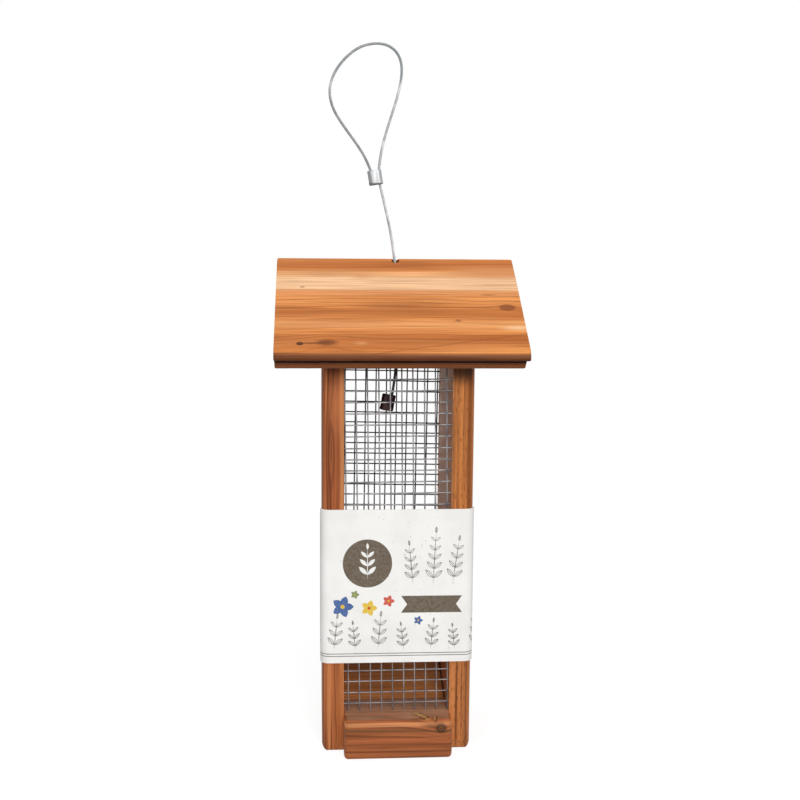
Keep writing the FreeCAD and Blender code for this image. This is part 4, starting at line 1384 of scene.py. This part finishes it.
@dataclass
class HangingRope:
    """The wire rope with its loop, and the pressed ferrules that hold it."""

    diameter: float = 1.6 * MM
    strands: int = 6
    strand_radius: float = 0.27 * MM
    lay_length: float = 10.0 * MM
    sides: int = 6
    lobe: float = 2.3 * MM
    spread: float = 1.75 * MM
    height: float = 8.4 * MM
    waist: float = 0.92
    # A ferrule's levels as shares of its height, and its size at each
    levels: tuple[tuple[float, float], ...] = (
        (-0.5, 0.9), (-0.48, 0.97), (-0.45, 1.0), (0.0, 0.985), (0.45, 1.0), (0.48, 0.97), (0.5, 0.9),
    )
    # Points of the route as X and Z in the plane of the cable hole, in millimetres
    cable_route: tuple[tuple[float, float], ...] = (
        (-1.7, 199.4), (0.3, 211.3), (1.1, 226.8), (0.9, 250.7), (0.4, 272.6),
        (-2.2, 292.5), (-5.9, 309.5), (-9.8, 325.0),
    )
    loop_route: tuple[tuple[float, float], ...] = (
        (-10.1, 328.2), (-9.5, 335.3), (-7.6, 345.8), (-3.7, 358.7), (0.7, 372.1),
        (3.3, 385.0), (1.8, 394.3), (-3.9, 399.9), (-12.0, 401.3), (-21.8, 398.8),
        (-30.8, 391.2), (-36.3, 382.7), (-38.3, 374.0), (-36.3, 364.9), (-30.6, 355.9),
        (-22.7, 345.5), (-16.7, 336.4), (-13.5, 327.8),
    )

    def line(self, route: tuple[tuple[float, float], ...]) -> list[Vector]:
        """Returns the points of the smooth curve that a route controls, in metres."""
        curve = bpy.data.curves.new("rope_line", "CURVE")
        curve.dimensions = "3D"
        curve.resolution_u = 24
        spline = curve.splines.new("NURBS")
        spline.points.add(len(route) - 1)
        for point, (x, z) in zip(spline.points, route):
            point.co = (x * MM, -ROOF.hole_front, z * MM, 1.0)
        spline.order_u = 3
        spline.use_endpoint_u = True
        holder = bpy.data.objects.new("rope_line", curve)
        mesh = bpy.data.meshes.new_from_object(holder)
        points = [vertex.co.copy() for vertex in mesh.vertices]
        bpy.data.meshes.remove(mesh)
        bpy.data.objects.remove(holder)
        bpy.data.curves.remove(curve)
        return points

    def rope(self, name: str, points: list[Vector]) -> bpy.types.Mesh:
        """Winds the strands round a core along the points."""
        shape = bmesh.new()
        offset = self.diameter / 2 - self.strand_radius
        lines: list[list[Vector]] = [[] for _ in range(self.strands)]
        run = 0.0
        last = len(points) - 1
        for index, point in enumerate(points):
            ahead = (points[min(index + 1, last)] - points[max(index - 1, 0)]).normalized()
            side = Vector((0, 1, 0))
            other = ahead.cross(side)
            if index:
                run += (point - points[index - 1]).length
            for strand, line in enumerate(lines):
                turn = 2 * math.pi * (strand / self.strands + run / self.lay_length)
                line.append(point + (side * math.cos(turn) + other * math.sin(turn)) * offset)
        for line in lines:
            tube(shape, line, [self.strand_radius] * len(line), self.sides)
        tube(shape, points, [self.strand_radius] * len(points), self.sides)
        return mesh_from(name, shape, 80.0)

    def ferrule(self, name: str, node: str, lean: float, drawn: float) -> bpy.types.Mesh:
        """Builds a pressed ferrule, two lobes with a shallow waist and eased ends.

        Args:
            name: the new mesh's name.
            node: the solid that gives its place.
            lean: its lean to the right, in degrees.
            drawn: how much longer the pressing has made it.

        Returns:
            The closed mesh.
        """
        low, high = box_corners(node)
        place = Matrix.Translation((low + high) / 2) @ Matrix.Rotation(math.radians(lean), 4, "Y")
        waist = self.waist * self.lobe
        tall = drawn * self.height
        section = arc((self.spread, 0.0), self.lobe, -112, 112, 16)
        section += [(0.0, waist)]
        section += arc((-self.spread, 0.0), self.lobe, 68, 292, 16)
        section += [(0.0, -waist)]
        shape = bmesh.new()
        rings = [
            [shape.verts.new(place @ Vector((u * size, v * size, share * tall))) for u, v in section]
            for share, size in self.levels
        ]
        close_rings(shape, rings)
        return mesh_from(name, shape, 38.0)

    def build(self) -> None:
        steel = ROPE_STEEL.material()
        ferrules = []
        for name, node, lean, drawn, finish in (
            ("pressed_loop_ferrule", "loop_ferrule", -9.5, 1.0, ALUMINIUM),
            ("pressed_stop_ferrule", "stop_ferrule", 10.0, 1.12, SHADED_STOP_FERRULE),
        ):
            mesh = self.ferrule(name, node, lean, drawn)
            ferrules.append(add_piece(mesh, finish.material(), "hanger", "ferrule_aluminium", node))
        press, stop = ferrules
        for name, node, route, end, pieces in (
            ("hanging_rope", "hanger_cable", self.cable_route, "fitting", [stop, press]),
            ("hanging_rope_loop", "hanger_loop", self.loop_route, "object", []),
        ):
            points = self.line(route)
            piece = add_piece(self.rope(name, points), steel, "hanger", "cable_steel", node)


@dataclass
class CardSleeve:
    """The printed card band round the body, a little hollow between the panels."""

    thick: float = 0.5 * MM
    corner: float = 5.4 * MM
    hollow: float = 0.35 * MM
    arc_steps: int = 6
    side_steps: int = 24
    levels: int = 18
    back_drop: float = 24.0 * MM
    slope_start: float = -34.5 * MM
    # Lifts the print's coordinates of the inner wall and the rims past the print
    unprinted: float = 0.3

    def outline(self) -> list[tuple[float, float]]:
        """Returns the outer outline from the middle of the back, anticlockwise from above."""
        high = box_corners("card_sleeve")[1]
        half_x, half_y, round_off = high.x, high.y, self.corner
        points: list[tuple[float, float]] = []
        corners = (
            ((-half_x + round_off, half_y - round_off), 90),
            ((-half_x + round_off, -half_y + round_off), 180),
            ((half_x - round_off, -half_y + round_off), 270),
            ((half_x - round_off, half_y - round_off), 0),
        )
        bends = [arc(middle, round_off, start, start + 90, self.arc_steps) for middle, start in corners]
        points.append((0.0, half_y))
        for index, bend in enumerate(bends):
            points += bend
            following = bends[(index + 1) % 4][0] if index < 3 else (0.0, half_y)
            for step in range(1, self.side_steps):
                share = step / self.side_steps
                x = bend[-1][0] + (following[0] - bend[-1][0]) * share
                y = bend[-1][1] + (following[1] - bend[-1][1]) * share
                points.append((x, y))
        return points

    def bowed(self, x: float, y: float, lift: float, inner: float) -> tuple[float, float]:
        """Draws the card in between the panels, most at mid height, and inwards by its thickness.

        Args:
            x: the place across on the outer outline.
            y: the place in depth on it.
            lift: the share of the sleeve's height.
            inner: how far inside the outer face the wall lies.

        Returns:
            The place across and in depth.
        """
        high = box_corners("card_sleeve")[1]
        flat = abs(abs(y) - high.y) < 0.01 * MM
        bow = math.cos(math.pi * x / (2 * high.x)) * math.sin(math.pi * lift)
        pull = self.hollow * bow if flat else 0.0
        shrink_x = (high.x - inner) / high.x
        shrink_y = (high.y - inner) / high.y
        return x * shrink_x, (y - math.copysign(pull, y)) * shrink_y

    def build(self) -> None:
        """Adds the sleeve with its outline unrolled as the print's coordinates."""
        low, high = box_corners("card_sleeve")
        outline = self.outline()
        count = len(outline)
        run = [0.0]
        for index in range(count):
            start, end = Vector(outline[index]), Vector(outline[(index + 1) % count])
            run.append(run[-1] + (end - start).length)
        shape = bmesh.new()
        uv = shape.loops.layers.uv.new("print")
        walls = []
        for inner in (0.0, self.thick):
            rings = []
            for level in range(self.levels + 1):
                lift = level / self.levels
                z = low.z + (high.z - low.z) * lift
                rings.append([shape.verts.new((*self.bowed(x, y, lift, inner), z)) for x, y in outline])
            walls.append(rings)

        def side(first: Ring, second: Ring, lifts: tuple[float, float]) -> None:
            """Joins two rings with faces that carry print coordinates in millimetres."""
            for index in range(count):
                following = (index + 1) % count
                face = shape.faces.new((first[index], first[following], second[following], second[index]))
                rounds = (run[index], run[index + 1], run[index + 1], run[index])
                heights = (lifts[0], lifts[0], lifts[1], lifts[1])
                for loop, along, up in zip(face.loops, rounds, heights):
                    loop[uv].uv = ((along - run[-1] / 2) / MM, up / MM)

        tall = high.z - low.z
        for rings, start in zip(walls, (0.0, self.unprinted)):
            for level in range(self.levels):
                lifts = (start + tall * level / self.levels, start + tall * (level + 1) / self.levels)
                side(rings[level], rings[level + 1], lifts)
        for level in (0, self.levels):
            side(walls[0][level], walls[1][level], (self.unprinted, self.unprinted))
        behind, above = high.y + self.thick, high.z + self.thick
        section = [
            (self.slope_start, high.z),
            (behind, high.z - self.back_drop),
            (behind, above),
            (self.slope_start, above),
        ]
        wedge = mesh_from("sleeve_slope", prism(section, [low.x - self.thick, high.x + self.thick]))
        mesh = cut_away(mesh_from("printed_sleeve", shape, 40.0), wedge)
        mesh.set_sharp_from_angle(angle=math.radians(40))
        add_piece(mesh, PrintedCard().material(), "sleeve", "sleeve_card", "card_sleeve")


@dataclass(frozen=True)
class Softbox:
    """A square soft light."""

    name: str
    place: tuple[float, float, float]
    size: float
    power: float

    def hang(self, aim: Vector) -> None:
        """Hangs the light and turns it to a point."""
        light = bpy.data.lights.new(self.name, "AREA")
        light.size = self.size
        light.energy = self.power
        lamp = bpy.data.objects.new(self.name, light)
        lamp.location = self.place
        lamp.rotation_euler = (aim - Vector(self.place)).to_track_quat("-Z", "Y").to_euler()
        bpy.context.scene.collection.objects.link(lamp)


@dataclass
class Studio:
    """Floor, light and camera."""

    floor_size: float = 0.55
    # The floor's own glow and what it adds under the lamps to the eye, and what it throws back on the object
    floor_glow: float = 0.84
    floor_seen: float = 0.24
    floor_bounce: float = 0.5
    ambient: float = 0.36
    aim: tuple[float, float, float] = (0.0, 0.0, 0.17)
    softboxes: tuple[Softbox, ...] = (
        Softbox("front_softbox", (0.15, -1.6, 0.8), 0.6, 15.8),
        Softbox("top_softbox", (-0.1, -0.5, 1.5), 0.7, 5.2),
        Softbox("back_softbox", (-0.3, 1.4, 1.1), 1.0, 7.0),
    )
    focal: float = 53.64
    sensor: float = 36.0
    eye: tuple[float, float, float] = (-45.0 * MM, -692.0 * MM, 291.7 * MM)
    yaw: float = math.radians(4.0)
    down: float = math.radians(7.675)
    roll: float = math.radians(0.45)

    def seen(self, graph: Graph) -> Socket:
        """Returns 1 for what the camera sees, straight or through gloss or glass."""
        path = graph.add("ShaderNodeLightPath").outputs
        direct = graph.math("MAXIMUM", path["Is Camera Ray"], path["Is Glossy Ray"])
        return graph.math("MAXIMUM", direct, path["Is Transmission Ray"])

    def floor(self) -> None:
        """Adds a pale floor that looks white and keeps a soft shadow."""
        shape = bmesh.new()
        bmesh.ops.create_grid(shape, x_segments=2, y_segments=2, size=self.floor_size)
        piece = bpy.data.objects.new("floor", mesh_from("floor", shape))
        bpy.context.scene.collection.objects.link(piece)
        graph = Graph(bpy.data.materials.new("white_floor"))
        glow = graph.add("ShaderNodeEmission")
        glow.inputs["Strength"].default_value = self.floor_glow
        matt = graph.add("ShaderNodeBsdfDiffuse")
        matt.inputs["Color"].default_value = (*[self.floor_seen] * 3, 1.0)
        shown = graph.add("ShaderNodeAddShader")
        graph.feed(shown.inputs[0], glow.outputs[0])
        graph.feed(shown.inputs[1], matt.outputs[0])
        plain = graph.add("ShaderNodeBsdfDiffuse")
        plain.inputs["Color"].default_value = (*[self.floor_bounce] * 3, 1.0)
        pick = graph.add("ShaderNodeMixShader")
        for socket, value in zip(pick.inputs, (self.seen(graph), plain.outputs[0], shown.outputs[0])):
            graph.feed(socket, value)
        output = graph.add("ShaderNodeOutputMaterial")
        graph.feed(output.inputs[0], pick.outputs[0])
        piece.data.materials.append(graph.owner)

    def world(self) -> None:
        """Makes the surroundings white to the eye and softly lit."""
        graph = Graph(bpy.data.worlds.new("white_room"))
        back = graph.add("ShaderNodeBackground")
        strength = graph.math("MULTIPLY_ADD", self.seen(graph), 1.0 - self.ambient, self.ambient)
        graph.feed(back.inputs["Strength"], strength)
        back.inputs["Color"].default_value = (1.0, 1.0, 1.0, 1.0)
        output = graph.add("ShaderNodeOutputWorld")
        graph.feed(output.inputs[0], back.outputs[0])
        bpy.context.scene.world = graph.owner

    def camera(self) -> None:
        """Sets the camera where the photograph was taken from."""
        lens = bpy.data.cameras.new("camera")
        lens.lens = self.focal
        lens.sensor_width = self.sensor
        lens.sensor_fit = "HORIZONTAL"
        lens.clip_start = 0.01
        ahead = Vector(
            (
                math.sin(self.yaw) * math.cos(self.down),
                math.cos(self.yaw) * math.cos(self.down),
                -math.sin(self.down),
            )
        )
        level = Vector((math.cos(self.yaw), -math.sin(self.yaw), 0.0))
        upright = level.cross(ahead)
        right = level * math.cos(self.roll) + upright * math.sin(self.roll)
        up = upright * math.cos(self.roll) - level * math.sin(self.roll)
        view = Matrix((right, up, -ahead)).transposed().to_4x4()
        view.translation = Vector(self.eye)
        camera = bpy.data.objects.new("camera", lens)
        camera.matrix_world = view
        bpy.context.scene.collection.objects.link(camera)
        bpy.context.scene.camera = camera

    def build(self) -> None:
        """Sets the stage."""
        bpy.context.scene.view_settings.view_transform = "Standard"
        self.floor()
        self.world()
        for softbox in self.softboxes:
            softbox.hang(Vector(self.aim))
        self.camera()


def main() -> None:
    """Builds every part of the feeder in order."""
    logging.basicConfig(level=logging.INFO, format="%(name)s: %(message)s")
    for assembly in (Studio, HangingRope, Woodwork, RoofBoards, WireScreens, SideScrews, CardSleeve):
        assembly().build()
        LOG.info("%s done", assembly.__name__)


if __name__ == "__main__":
    main()
